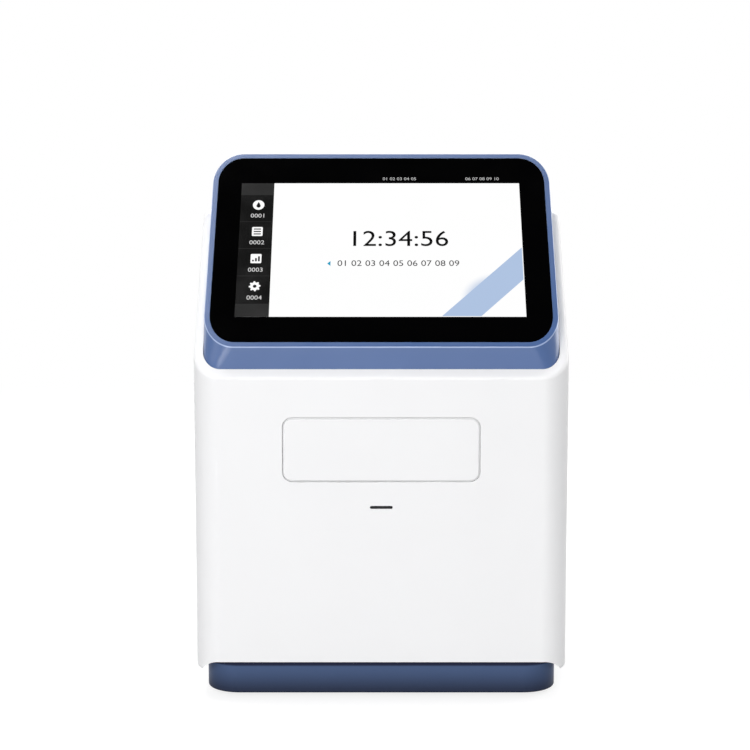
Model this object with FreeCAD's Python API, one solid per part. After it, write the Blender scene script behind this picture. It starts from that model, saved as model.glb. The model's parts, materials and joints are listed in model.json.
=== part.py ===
"""Benchtop dry chemistry analyzer with a slanted touch screen and a motorised front drawer.

Lengths are in millimetres. X runs to the right, Y to the rear and Z up. The origin is on the
bench, under the centre of the outer sleeve. The front faces -Y.
"""

import FreeCAD, Part
import math
import os

V = FreeCAD.Vector
X_AXIS = V(1, 0, 0)
Y_AXIS = V(0, 1, 0)
Z_AXIS = V(0, 0, 1)

# General values
overrun = 10.0
slide_gap = 0.3
shaft_gap = 0.05
same_direction_share = 0.99

# Outer sleeve
sleeve_width = 218.0
sleeve_depth = 254.0
sleeve_corner_radius = 15.4
sleeve_wall = 3.0
rim_round = 3.0
ridge_round = 22.0
front_top_height = 188.7
deck_height = 277.4
slope_deg = 43.0
front_skirt_height = 20.2
side_skirt_height = 14.0
skirt_round = 2.5
arch_radius = 12.0
arch_inset = 13.5

# Base tub and feet
foot_height = 3.0
foot_radius = 8.0
foot_recess = 0.5
foot_inset = 30.0
base_setback = 4.95
base_side_setback = 5.7
base_corner_radius = 20.0
base_wall = 3.0
base_floor = 3.0
base_edge_round = 1.5
base_height = 33.0
base_lip_thickness = 3.0
rib_thickness = 2.0
rib_height = 4.0
rib_side_inset = 40.3
rib_end_inset = 59.05

# Display head
head_setback = 4.95
head_side_setback = 5.58
head_corner_radius = 18.5
head_foot_radius = 10.4
head_wall = 3.0
head_gap = 0.3
head_edge_round = 0.6
head_top_land = 7.0
head_flange_thickness = 2.5
head_flange_reach = 2.0
face_low_height = 206.1
face_length = 155.6
glass_border = 3.45
glass_top_border = 3.9
glass_corner_radius = 15.0
glass_thickness = 1.8
glass_sink = 0.1
glass_gap = 0.2

# Display panel, its bracket and its board
lcd_side_band = 7.97
lcd_low_band = 15.45
lcd_top_band = 18.2
lcd_thickness = 3.2
lcd_gap = 0.5
display_bracket_side_margin = 7.0
display_bracket_end_margin = 4.7
display_bracket_thickness = 1.0
display_bracket_window_length = 25.0
display_bracket_corner = 6.0
display_board_width = 110.0
display_board_length = 60.0
board_thickness = 1.6
display_standoff_height = 5.0
display_standoff_radius = 2.5
display_standoff_inset = 6.0
display_screw_inset = 4.0
display_screw_bite = 2.4

# Drawer opening and drawer
drawer_opening_width = 114.5
drawer_opening_height = 37.8
drawer_opening_radius = 5.8
drawer_centre_height = 146.5
drawer_front_gap = 0.9
drawer_front_thickness = 3.0
drawer_front_rib = 2.0
drawer_front_rib_inset = 2.5
drawer_edge_round = 0.4
drawer_step_depth = 1.0
drawer_back_gap = 0.2
drawer_travel = 105.0
tray_width = 92.0
tray_length = 112.0
tray_wall = 2.5
tray_bottom_lift = 1.0
tray_height = 26.0
tray_corner_radius = 3.0
well_radius = 42.5
well_depth = 12.5
well_centre_back = 56.0
spindle_hole_radius = 4.5

# Drawer slides
rail_sheet = 1.2
rail_plate = 1.5
inner_rail_thickness = 2.6
inner_rail_height = 13.4
inner_rail_start = 2.0
inner_rail_length = 150.0
outer_rail_start = 6.0
outer_rail_length = 148.0
rail_lift = 5.8
rail_tray_gap = 0.5
rail_foot_width = 12.0
rail_bracket_start = 14.0
rail_hole_radius = 7.0
rail_hole_spacing = 32.0

# Drawer drive
gear_module = 1.0
pinion_teeth = 18
pressure_angle_deg = 20.0
gear_backlash = 0.2
root_clearance_share = 0.25
flank_points = 5
pinion_width = 7.0
pinion_shaft_radius = 1.5
pinion_shaft_length = 10.0
rack_width = 6.0
rack_end_margin = 15.0
rack_start = 12.0
rack_outer_x = -40.0
rack_tip_lift = 0.9
pinion_back = 20.0
drive_motor_radius = 8.0
drive_motor_length = 38.0
drive_motor_nose_radius = 3.5
drive_motor_nose_length = 1.0
drive_bracket_thickness = 1.5
drive_bracket_width = 24.0
drive_bracket_foot = 20.0

# Turntable and its motor
turntable_radius = 40.0
turntable_thickness = 2.5
turntable_lift = 1.0
turntable_slot_radius = 26.0
turntable_slot_hole = 6.0
turntable_slots = 6
spindle_flange_radius = 9.0
spindle_reach = 5.0
spindle_shaft_radius = 2.0
spindle_nose_radius = 6.0
spindle_nose_height = 2.5
locating_pin_radius = 1.5
locating_pin_height = 2.5
locating_pin_circle = 14.0
locating_pins = 3
turntable_motor_radius = 18.0
turntable_motor_nose_radius = 4.2
turntable_motor_sink = 0.5

# Chassis deck and posts
deck_motor_gap = 3.5
deck_sheet = 2.0
deck_side_gap = 10.0
deck_front_back = 15.0
deck_rear_gap = 6.0
deck_flange = 8.0
deck_window_width = 60.0
deck_window_length = 30.0
post_radius = 4.5
post_side_inset = 10.0
post_end_inset = 29.0
post_foot_height = 6.0
post_foot_radius = 7.0

# Optics over the drawer
bridge_half_width = 72.0
bridge_sheet = 2.0
bridge_front_back = 19.0
bridge_length = 80.0
bridge_lift = 4.5
bridge_foot = 10.0
bridge_bend_radius = 3.0
heater_radius = 40.0
heater_thickness = 4.0
heater_spacer_height = 4.5
heater_spacer_radius = 3.0
heater_spacer_circle = 33.0
optics_offset_x = 27.0
optical_head_width = 40.0
optical_head_length = 44.0
optical_head_height = 28.0
optical_head_round = 3.0
lens_tube_radius = 7.0
lens_bore_radius = 5.0
lens_thickness = 3.0
lens_tube_drop = 10.0
lamp_radius = 9.0
lamp_length = 24.0
lamp_fins = 5
lamp_fin_thickness = 2.0
lamp_core_radius = 7.0
reader_width = 24.0
reader_length = 32.0
reader_height = 16.0
reader_window_radius = 5.0

# Rear panel, fan, inlet, switch and sockets
panel_sheet = 1.5
panel_overlap = 9.0
panel_top_gap = 8.0
rear_window_border = 25.0
rear_window_low = 43.0
rear_window_top_gap = 22.0
rear_window_radius = 8.0
panel_screw_rows = 3
screw_radius = 1.5
screw_head_radius = 2.8
screw_head_height = 1.6
screw_hole_gap = 0.2
screw_length = 8.0
screw_sink = 0.2
fan_side_inset = 39.0
fan_height = 197.0
fan_size = 60.0
fan_thickness = 15.0
fan_corner_radius = 4.0
fan_duct_radius = 28.5
fan_hub_radius = 13.0
fan_strut_width = 4.0
fan_strut_thickness = 2.5
fan_struts = 4
fan_blades = 7
fan_blade_reach = 27.5
fan_blade_thickness = 1.4
fan_blade_pitch_deg = 38.0
fan_blade_depth = 9.0
fan_axle_radius = 1.5
fan_hub_gap = 0.6
fan_hub_length = 10.0
grille_slot = 3.2
grille_pitch = 5.6
grille_slots = 9
vent_height = 84.0
vent_side_inset = 14.0
vent_switch_gap = 24.0
vent_slots = 6
inlet_side_inset = 32.0
inlet_height = 63.0
inlet_width = 27.0
inlet_body_height = 19.5
inlet_depth = 22.0
inlet_flange = 2.5
inlet_flange_thickness = 2.0
inlet_corner = 3.5
inlet_recess_width = 24.4
inlet_recess_height = 16.9
inlet_recess_depth = 15.0
inlet_pin_width = 2.0
inlet_pin_height = 4.0
inlet_pin_spacing = 7.0
inlet_pin_lift = 2.0
inlet_pin_length = 12.0
switch_spacing = 40.0
switch_width = 13.0
switch_height = 19.2
switch_depth = 14.0
switch_flange = 1.5
switch_flange_thickness = 1.8
switch_wall = 1.6
rocker_tilt_deg = 9.0
rocker_sink = 0.8
rocker_thickness = 3.0
rocker_axle_radius = 1.2
rocker_gap = 0.4
rocker_axle_depth = 5.0
cutout_gap = 0.3
lan_board_inset = 90.0
lan_width = 16.0
lan_height = 13.5
lan_depth = 21.0
lan_socket_width = 11.8
lan_socket_height = 8.2
lan_socket_depth = 13.0
lan_socket_lift = 2.2
usb_board_inset = 66.0
usb_width = 14.5
usb_height = 7.0
usb_depth = 17.0
usb_spacing = 22.0
usb_count = 2
usb_shell = 0.8
usb_tongue_height = 1.9
usb_tongue_width = 11.0
usb_socket_depth = 12.0

# Boards, power supply and speaker
board_width = 110.0
board_side_gap = 16.0
board_rail_gap = 8.0
board_standoff_height = 6.0
board_standoff_radius = 3.0
board_standoff_inset = 6.0
heatsink_size = 28.0
heatsink_base = 2.5
heatsink_fin_height = 8.0
heatsink_fins = 6
heatsink_fin_thickness = 1.2
heatsink_side_inset = 16.0
heatsink_front_inset = 20.0
supply_side_gap = 16.3
supply_width = 64.0
supply_length = 104.0
supply_height = 34.0
supply_rear_gap = 35.05
supply_round = 2.0
supply_slot = 2.5
supply_slot_length = 44.0
supply_slots = 8
supply_slot_pitch = 8.0
supply_slot_depth = 1.0
speaker_x = -30.0
speaker_front_gap = 35.05
speaker_radius = 14.0
speaker_magnet_radius = 7.0
speaker_rim_height = 2.5
speaker_height = 8.0

# Status light in the front
light_height = 112.7
light_slot_length = 13.3
light_slot_height = 1.75
light_lens_gap = 0.1
light_flange = 2.0
light_flange_thickness = 1.0
light_board_width = 34.0
light_board_height = 12.0
light_boss_spacing = 24.0
light_boss_radius = 3.0

# Places worked out from the sizes above
slope = math.radians(slope_deg)
slope_tan = math.tan(slope)
slope_cos = math.cos(slope)
slope_sin = math.sin(slope)
front_y = -sleeve_depth / 2
rear_y = sleeve_depth / 2
front_inner_y = front_y + sleeve_wall
rear_inner_y = rear_y - sleeve_wall
front_top_z = foot_height + front_top_height
deck_z = foot_height + deck_height
base_floor_z = foot_height + base_floor
base_top_z = foot_height + base_height
head_front_y = front_y + head_setback
head_rear_y = head_front_y + face_length * slope_cos + head_top_land * slope_sin
head_half_width = sleeve_width / 2 - head_side_setback
face_low_z = foot_height + face_low_height
glass_length = face_length - glass_border - glass_top_border
glass_recess = glass_thickness + glass_sink
face_plate = glass_recess + lcd_thickness
lcd_width = (head_half_width - glass_border - lcd_side_band) * 2
lcd_length = glass_length - lcd_low_band - lcd_top_band
lcd_centre_along = glass_border + lcd_low_band + lcd_length / 2
display_bracket_width = lcd_width + display_bracket_side_margin * 2
display_bracket_length = lcd_length + display_bracket_end_margin * 2
base_inner_half_width = sleeve_width / 2 - base_side_setback - base_wall
base_inner_half_length = sleeve_depth / 2 - base_setback - base_wall
rib_column_x = base_inner_half_width - rib_side_inset
rib_row_y = base_inner_half_length - rib_end_inset
drawer_z = foot_height + drawer_centre_height
drawer_low_z = drawer_z - drawer_opening_height / 2 + drawer_front_gap
tray_front_y = front_y + drawer_front_thickness
tray_rear_y = tray_front_y + tray_length
tray_low_z = drawer_low_z + tray_bottom_lift
tray_top_z = tray_low_z + tray_height
well_y = tray_front_y + well_centre_back
well_floor_z = tray_top_z - well_depth
well_underside_z = well_floor_z - tray_wall
rack_pitch_z = drawer_low_z - drawer_front_gap + rack_tip_lift + gear_module
pinion_z = rack_pitch_z - gear_module * pinion_teeth / 2
deck_top_z = pinion_z - drive_motor_radius - deck_motor_gap
deck_half_width = sleeve_width / 2 - sleeve_wall - deck_side_gap
post_half_spacing_x = deck_half_width - post_side_inset
post_half_spacing_y = sleeve_depth / 2 - post_end_inset
panel_outer_y = rear_inner_y
panel_inner_y = panel_outer_y - panel_sheet
rear_window_half_width = sleeve_width / 2 - rear_window_border
panel_half_width = rear_window_half_width + panel_overlap
panel_screw_x = rear_window_half_width + panel_overlap / 2
fan_x = fan_side_inset - rear_window_half_width
inlet_x = rear_window_half_width - inlet_side_inset
switch_x = inlet_x - switch_spacing
vent_low_x = vent_side_inset - rear_window_half_width
vent_high_x = switch_x - switch_width / 2 - switch_flange - vent_switch_gap
bridge_top_z = tray_top_z + bridge_lift + lens_tube_drop
board_low_z = deck_top_z + board_standoff_height
board_top_z = board_low_z + board_thickness
board_left_x = sleeve_wall + board_side_gap - sleeve_width / 2
board_right_x = board_left_x + board_width
board_front_y = front_inner_y + outer_rail_start + outer_rail_length + board_rail_gap
board_rear_y = panel_inner_y - slide_gap
lan_x = board_left_x + lan_board_inset
usb_x = board_left_x + usb_board_inset
heatsink_x = board_left_x + heatsink_side_inset
heatsink_y = board_front_y + heatsink_front_inset
supply_x = base_inner_half_width - supply_side_gap - supply_width / 2
supply_rear_y = base_inner_half_length - supply_rear_gap
speaker_y = speaker_front_gap - base_inner_half_length


def is_along(edge, axis):
    """Tell whether a straight edge runs along an axis."""
    direction = edge.tangentAt(edge.FirstParameter)
    return abs(direction.dot(axis)) > same_direction_share


def block(x_low, x_high, y_low, y_high, z_low, z_high):
    """A plain block between two corners."""
    return Part.makeBox(x_high - x_low, y_high - y_low, z_high - z_low, V(x_low, y_low, z_low))


def rounded_block(x_low, x_high, y_low, y_high, z_low, z_high, radius, axis=Z_AXIS):
    """A block whose edges along one axis are rounded."""
    shape = block(x_low, x_high, y_low, y_high, z_low, z_high)
    return shape.makeFillet(radius, [edge for edge in shape.Edges if is_along(edge, axis)])


def rod(radius, start, end):
    """A cylinder from one point to another."""
    return Part.makeCylinder(radius, (end - start).Length, start, end - start)


def extrude_side(points, x_low, x_high):
    """Extrude an outline of (y, z) points across the object."""
    corners = [V(x_low, y, z) for y, z in points]
    face = Part.Face(Part.makePolygon(corners + corners[:1]))
    return face.extrude(V(x_high - x_low, 0, 0))


def revolve_z(points, centre_x, centre_y):
    """Turn an outline of (radius, z) points about an upright axis."""
    corners = [V(centre_x + radius, centre_y, z) for radius, z in points]
    face = Part.Face(Part.makePolygon(corners + corners[:1]))
    return face.revolve(V(centre_x, centre_y, 0), Z_AXIS, math.degrees(math.tau))


def slot(length, height, depth, centre):
    """A slot with round ends that lies along X and is cut towards +Y from its centre point."""
    half = (length - height) / 2
    middle = block(-half, half, 0, depth, -height / 2, height / 2)
    left = rod(height / 2, V(-half, 0, 0), V(-half, depth, 0))
    right = rod(height / 2, V(half, 0, 0), V(half, depth, 0))
    shape = middle.fuse([left, right]).removeSplitter()
    shape.translate(centre)
    return shape


def merge(shape, others):
    """Join solids into one and drop the seams between them."""
    return shape.fuse(others).removeSplitter()


def sleeve_plan(inset, z_low, z_high):
    """The upright prism on the sleeve's plan, drawn in by an inset."""
    half = sleeve_width / 2 - inset
    return rounded_block(
        -half, half, front_y + inset, rear_y - inset, z_low, z_high, sleeve_corner_radius - inset)


def under_roof(inset):
    """All that lies under the sleeve's slanted front and level deck, drawn in by an inset."""
    start = front_y - overrun
    end = rear_y + overrun
    roof_z = front_top_z - inset / slope_cos
    ridge_z = deck_z - inset
    ridge_y = front_y + (ridge_z - roof_z) / slope_tan
    points = [
        (start, -overrun),
        (start, roof_z - overrun * slope_tan),
        (ridge_y, ridge_z),
        (end, ridge_z),
        (end, -overrun),
    ]
    half = sleeve_width / 2 + overrun
    return extrude_side(points, -half, half)


def rim_edges(shape):
    """The edges round the roof: all but the upright ones and the ridge."""
    edges = []
    for edge in shape.Edges:
        box = edge.BoundBox
        upright = box.ZLength > box.XLength + box.YLength
        inside = is_along(edge, X_AXIS) and front_y + overrun < box.Center.y < rear_y - overrun
        if box.ZMin > front_top_z - sleeve_wall and not upright and not inside:
            edges.append(edge)
    return edges


def skirt_arch():
    """The shallow arch that raises the sleeve's lower edge across its front."""
    low = foot_height + side_skirt_height
    high = foot_height + front_skirt_height
    half = sleeve_width / 2 - arch_inset
    turn = math.acos(1 - (high - low) / arch_radius)
    start_y = front_y - overrun

    def arch_point(side, angle):
        x = half + arch_radius * math.sin(angle)
        return V(side * x, start_y, high - arch_radius * (1 - math.cos(angle)))

    edges = [Part.Arc(arch_point(side, 0), arch_point(side, turn / 2), arch_point(side, turn)).toShape()
             for side in (-1, 1)]
    left = arch_point(-1, turn)
    right = arch_point(1, turn)
    corners = [left, V(left.x, start_y, -overrun), V(right.x, start_y, -overrun), right]
    edges += [Part.makeLine(a, b) for a, b in zip(corners, corners[1:])]
    edges.append(Part.makeLine(arch_point(-1, 0), arch_point(1, 0)))
    face = Part.Face(Part.Wire(Part.__sortEdges__(edges)))
    return face.extrude(V(0, overrun + sleeve_corner_radius, 0))


def head_prism(inset, z_low, z_high, front_radius):
    """The upright prism on the display head's plan, drawn in by an inset."""
    half = head_half_width - inset
    front = head_front_y + inset
    rear = head_rear_y - inset
    shape = block(-half, half, front, rear, z_low, z_high)
    for end, radius in [(front, front_radius), (rear, head_corner_radius)]:
        corners = [edge for edge in shape.Edges
                   if is_along(edge, Z_AXIS) and abs(edge.CenterOfMass.y - end) < slide_gap]
        shape = shape.makeFillet(radius - inset, corners)
    return shape


def drawer_window(gap, y_low, y_high):
    """The rounded outline of the drawer's opening, drawn in by a gap."""
    half_width = drawer_opening_width / 2 - gap
    half_height = drawer_opening_height / 2 - gap
    return rounded_block(
        -half_width, half_width, y_low, y_high, drawer_z - half_height, drawer_z + half_height,
        drawer_opening_radius - gap, Y_AXIS)


def drawer_edges(shape):
    """The edges round the drawer's outline in the plane of the sleeve's front."""
    edges = []
    for edge in shape.Edges:
        box = edge.BoundBox
        in_front = box.YMax < front_y + slide_gap
        across = abs(box.Center.x) < drawer_opening_width / 2 + slide_gap
        near = abs(box.Center.z - drawer_z) < drawer_opening_height / 2 + slide_gap
        if in_front and across and near:
            edges.append(edge)
    return edges


def panel_screw_points():
    """Where the screws go through the sleeve's rear border, on its outer face."""
    low = foot_height + rear_window_low + rear_window_radius * 2
    high = deck_z - rear_window_top_gap - rear_window_radius * 2
    pitch = (high - low) / (panel_screw_rows - 1)
    return [V(side * panel_screw_x, rear_y, low + row * pitch)
            for side in (-1, 1) for row in range(panel_screw_rows)]


def sleeve_lugs():
    """Lugs on the sleeve's inner walls that stand on the tub's lip."""
    lugs = []
    for side in (-1, 1):
        for row in (-1, 1):
            outer = side * (sleeve_width / 2 - sleeve_wall)
            inner = side * (sleeve_width / 2 - sleeve_wall - base_side_setback)
            centre = row * rib_row_y
            lugs.append(block(
                min(outer, inner), max(outer, inner), centre - post_foot_radius,
                centre + post_foot_radius, base_top_z, base_top_z + overrun))
    return lugs


def light_boss_points():
    """Where the status light's board is carried, on the sleeve's front wall."""
    z = foot_height + light_height
    return [V(side * light_boss_spacing / 2, front_inner_y, z) for side in (-1, 1)]


def make_outer_sleeve():
    """The white one-piece sleeve round the front, sides, rear and top."""
    skirt_z = foot_height + side_skirt_height
    shape = sleeve_plan(0, skirt_z, deck_z + overrun).common(under_roof(0))
    lower = [edge for edge in shape.Edges if edge.BoundBox.ZMax < skirt_z + slide_gap]
    shape = shape.makeFillet(skirt_round, lower)
    ridge = [edge for edge in shape.Edges
             if is_along(edge, X_AXIS) and abs(edge.BoundBox.Center.z - deck_z) < slide_gap
             and edge.BoundBox.Center.y < 0]
    shape = shape.makeFillet(ridge_round, ridge)
    shape = shape.makeFillet(rim_round, rim_edges(shape))
    hollow = sleeve_plan(sleeve_wall, -overrun, deck_z).common(under_roof(sleeve_wall))
    shape = shape.cut(hollow)
    shape = shape.cut(head_prism(-head_gap, base_top_z, deck_z + overrun, head_foot_radius))
    shape = shape.cut(drawer_window(0, front_y - overrun, front_inner_y + slide_gap))
    shape = shape.makeFillet(drawer_edge_round, drawer_edges(shape))
    light_centre = V(0, front_y - overrun, foot_height + light_height)
    shape = shape.cut(slot(light_slot_length, light_slot_height, overrun * 2, light_centre))
    shape = shape.cut(rounded_block(
        -rear_window_half_width, rear_window_half_width, rear_inner_y - slide_gap,
        rear_y + overrun, foot_height + rear_window_low, deck_z - rear_window_top_gap,
        rear_window_radius, Y_AXIS))
    for point in panel_screw_points():
        sink = V(0, screw_head_height + screw_sink, 0)
        through = V(0, sleeve_wall + slide_gap, 0)
        shape = shape.cut(rod(screw_head_radius + screw_hole_gap, point - sink, point + sink))
        shape = shape.cut(rod(screw_radius + screw_hole_gap, point - through, point + sink))
    shape = shape.cut(skirt_arch())
    boss_length = V(0, light_flange_thickness, 0)
    bosses = [rod(light_boss_radius, point, point + boss_length) for point in light_boss_points()]
    return merge(shape, sleeve_lugs() + bosses)


def foot_points():
    """The centres of the four feet on the tub's underside."""
    half_x = sleeve_width / 2 - foot_inset
    half_y = sleeve_depth / 2 - foot_inset
    return [V(x * half_x, y * half_y, 0) for x in (-1, 1) for y in (-1, 1)]


def post_points():
    """The centres of the four posts on the tub's floor."""
    return [V(x * post_half_spacing_x, y * post_half_spacing_y, base_floor_z)
            for x in (-1, 1) for y in (-1, 1)]


def base_prism(inset, z_low, z_high):
    """The upright prism on the tub's plan, drawn in by an inset."""
    half = sleeve_width / 2 - base_side_setback - inset
    return rounded_block(
        -half, half, front_y + base_setback + inset, rear_y - base_setback - inset, z_low,
        z_high, base_corner_radius - inset)


def make_base_tub():
    """The blue moulded tub with its lip, floor ribs, post feet and vents."""
    shape = base_prism(0, foot_height, base_top_z)
    lower = [edge for edge in shape.Edges if edge.BoundBox.ZMax < foot_height + slide_gap]
    shape = shape.makeFillet(base_edge_round, lower)
    lip = sleeve_plan(sleeve_wall + slide_gap, base_top_z - base_lip_thickness, base_top_z)
    shape = merge(shape, [lip])
    shape = shape.cut(base_prism(base_wall, base_floor_z, base_top_z + overrun))
    rib_top = base_floor_z + rib_height
    ribs = []
    for step in (-1, 0, 1):
        column = step * rib_column_x
        row = step * rib_row_y
        ribs.append(block(
            column - rib_thickness / 2, column + rib_thickness / 2, -base_inner_half_length,
            base_inner_half_length, base_floor_z, rib_top))
        ribs.append(block(
            -base_inner_half_width, base_inner_half_width, row - rib_thickness / 2,
            row + rib_thickness / 2, base_floor_z, rib_top))
    feet = [rod(post_foot_radius, point, point + V(0, 0, post_foot_height))
            for point in post_points()]
    shape = merge(shape, ribs + feet)
    for point in foot_points():
        low = V(point.x, point.y, 0)
        shape = shape.cut(rod(foot_radius + slide_gap, low, low + V(0, 0, foot_height + foot_recess)))
    return shape


def make_rubber_feet():
    """Four short rubber feet, each seated in its recess."""
    feet = []
    for point in foot_points():
        foot = rod(foot_radius, point, point + V(0, 0, foot_height + foot_recess))
        lower = [edge for edge in foot.Edges if edge.BoundBox.ZMax < foot_recess]
        feet.append(foot.makeChamfer(foot_recess, lower))
    return Part.makeCompound(feet)


def face_place():
    """The placement from the screen's own axes, x across, y up the slope and z out of it."""
    return FreeCAD.Placement(V(0, head_front_y, face_low_z), FreeCAD.Rotation(X_AXIS, slope_deg))


def on_face(shape):
    """Move a shape from the screen's own axes to its place."""
    shape.Placement = face_place().multiply(shape.Placement)
    return shape


def oval_plate(width, length, radius, centre_along, z_low, z_high):
    """A plate in the screen's axes whose corners are round when seen from straight above."""
    along = radius / slope_cos
    half_length = length / 2
    half_width = width / 2
    centre_x = half_length - along
    centre_y = half_width - radius
    edges = []
    quarter = math.pi / 2
    for corner, (sign_x, sign_y) in enumerate([(1, 1), (-1, 1), (-1, -1), (1, -1)]):
        ellipse = Part.Ellipse(V(sign_x * centre_x, sign_y * centre_y, z_low), along, radius)
        arc = Part.ArcOfEllipse(ellipse, corner * quarter, (corner + 1) * quarter)
        edges.append(arc.toShape())
    edges.append(Part.makeLine(V(-centre_x, half_width, z_low), V(centre_x, half_width, z_low)))
    edges.append(Part.makeLine(V(-centre_x, -half_width, z_low), V(centre_x, -half_width, z_low)))
    edges.append(Part.makeLine(V(half_length, -centre_y, z_low), V(half_length, centre_y, z_low)))
    edges.append(Part.makeLine(V(-half_length, -centre_y, z_low), V(-half_length, centre_y, z_low)))
    plate = Part.Face(Part.Wire(Part.__sortEdges__(edges))).extrude(V(0, 0, z_high - z_low))
    quarter_turn = FreeCAD.Rotation(Z_AXIS, math.degrees(quarter))
    plate.Placement = FreeCAD.Placement(V(0, centre_along, 0), quarter_turn)
    return on_face(plate)


def face_block(half_width, along_low, along_high, z_low, z_high):
    """A block in the screen's axes."""
    return on_face(block(-half_width, half_width, along_low, along_high, z_low, z_high))


def below_face(depth):
    """All that lies more than a depth under the plane of the screen."""
    start = head_front_y - overrun
    end = head_rear_y + overrun
    first_z = face_low_z - depth / slope_cos - overrun * slope_tan
    last_z = first_z + (end - start) * slope_tan
    points = [(start, -overrun), (start, first_z), (end, last_z), (end, -overrun)]
    return extrude_side(points, -sleeve_width / 2, sleeve_width / 2)


def below_top(inset):
    """All that lies below the slant's upper end, square to the screen, drawn in by an inset."""
    half_length = face_length - inset
    return oval_plate(
        (head_half_width - inset) * 2, half_length * 2, head_corner_radius - inset, 0,
        -face_length, overrun)


def is_in_face(edge):
    """Tell whether an edge lies in the plane of the screen."""
    to_face = face_place().inverse()
    return all(abs(to_face.multVec(vertex.Point).z) < slide_gap for vertex in edge.Vertexes)


def glass_outline(gap, z_low, z_high):
    """The outline of the cover glass, made larger by a gap."""
    width = (head_half_width - glass_border + gap) * 2
    length = glass_length + gap * 2
    centre = glass_border + glass_length / 2
    return oval_plate(width, length, glass_corner_radius + gap, centre, z_low, z_high)


def display_screw_places():
    """The four screw places of the display bracket in the screen's axes."""
    half_width = display_bracket_width / 2 - display_screw_inset
    half_length = display_bracket_length / 2 - display_screw_inset
    return [(x * half_width, lcd_centre_along + y * half_length) for x in (-1, 1) for y in (-1, 1)]


def face_rod(radius, place, z_low, z_high):
    """A cylinder square to the screen at a place on it."""
    return on_face(rod(radius, V(place[0], place[1], z_low), V(place[0], place[1], z_high)))


def head_outline(front_radius, depth):
    """The head's outline where a plane under the screen cuts it, with its front corner radius."""
    top_z = face_low_z + face_length
    shape = head_prism(0, base_top_z, top_z, front_radius).common(below_face(depth))
    return max(shape.Faces, key=lambda face: face.CenterOfMass.z).OuterWire


def make_display_head():
    """The blue screen housing: a hood cut off on the slant, whose front corners open upwards."""
    top_z = face_low_z + face_length
    rise = (face_low_z - front_top_z - head_setback * slope_tan) * slope_cos
    foot = head_outline(head_foot_radius, rise)
    hood = Part.makeLoft([foot, head_outline(head_corner_radius, 0)], True, True)
    neck = head_prism(0, base_top_z, top_z, head_foot_radius).common(below_face(rise))
    shape = neck.fuse(hood).removeSplitter().common(below_top(0))
    shape = shape.makeFillet(head_edge_round, [edge for edge in shape.Edges if is_in_face(edge)])
    flange_depth = sleeve_wall + head_flange_thickness
    shape = shape.cut(under_roof(flange_depth))
    flange = head_prism(-head_flange_reach, base_top_z, top_z, head_foot_radius)
    flange = flange.common(sleeve_plan(sleeve_wall + slide_gap, base_top_z, deck_z))
    flange = flange.common(under_roof(sleeve_wall)).cut(under_roof(flange_depth))
    shape = merge(shape, [flange])
    hollow = head_prism(head_wall, base_top_z, top_z, head_corner_radius)
    hollow = hollow.common(below_face(face_plate))
    shape = shape.cut(hollow.common(below_top(head_wall)))
    shape = shape.cut(glass_outline(glass_gap, -glass_recess, overrun))
    half_width = lcd_width / 2 + lcd_gap
    half_length = lcd_length / 2 + lcd_gap
    shape = shape.cut(face_block(
        half_width, lcd_centre_along - half_length, lcd_centre_along + half_length,
        -face_plate - overrun, overrun))
    for place in display_screw_places():
        shape = shape.cut(face_rod(
            screw_radius, place, -face_plate - slide_gap, -face_plate + display_screw_bite))
    return shape


def make_cover_glass():
    """The black-bordered cover glass, flush in the display head."""
    return glass_outline(0, -glass_recess, -glass_sink)


def make_lcd_panel():
    """The display module behind the glass."""
    half_length = lcd_length / 2
    return face_block(
        lcd_width / 2, lcd_centre_along - half_length, lcd_centre_along + half_length,
        -face_plate, -glass_recess)


def display_standoff_places():
    """The four standoffs of the display board in the screen's axes."""
    half_width = display_board_width / 2 - display_standoff_inset
    half_length = display_board_length / 2 - display_standoff_inset
    return [(x * half_width, lcd_centre_along + y * half_length) for x in (-1, 1) for y in (-1, 1)]


def make_display_bracket():
    """The sheet that holds the display module in, with standoffs for its board."""
    top = -face_plate
    low = top - display_bracket_thickness
    half_width = display_bracket_width / 2
    half_length = display_bracket_length / 2
    sheet = on_face(rounded_block(
        -half_width, half_width, lcd_centre_along - half_length, lcd_centre_along + half_length,
        low, top, display_bracket_corner))
    window_half_length = display_bracket_window_length / 2
    inset = display_board_width / 2 - display_standoff_inset * 2
    sheet = sheet.cut(face_block(
        inset, lcd_centre_along - window_half_length, lcd_centre_along + window_half_length,
        low - overrun, top + overrun))
    studs = [face_rod(display_standoff_radius, place, low - display_standoff_height, low)
             for place in display_standoff_places()]
    sheet = merge(sheet, studs)
    for place in display_screw_places():
        sheet = sheet.cut(face_rod(
            screw_radius + screw_hole_gap, place, low - slide_gap, top + slide_gap))
    return sheet


def make_display_screws():
    """Four screws through the display bracket."""
    under_head = -face_plate - display_bracket_thickness
    screws = []
    for place in display_screw_places():
        head = face_rod(screw_head_radius, place, under_head - screw_head_height, under_head)
        shank = face_rod(screw_radius, place, under_head, -face_plate + display_screw_bite)
        screws.append(merge(head, [shank]))
    return Part.makeCompound(screws)


def make_display_board():
    """The display's driver board on the bracket's standoffs."""
    top = -face_plate - display_bracket_thickness - display_standoff_height
    half_length = display_board_length / 2
    return face_block(
        display_board_width / 2, lcd_centre_along - half_length, lcd_centre_along + half_length,
        top - board_thickness, top)


def make_deck_posts():
    """Four round posts from the tub's feet to the chassis deck."""
    posts = []
    for point in post_points():
        low = point + V(0, 0, post_foot_height)
        posts.append(rod(post_radius, low, V(point.x, point.y, deck_top_z - deck_sheet)))
    return Part.makeCompound(posts)


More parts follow.
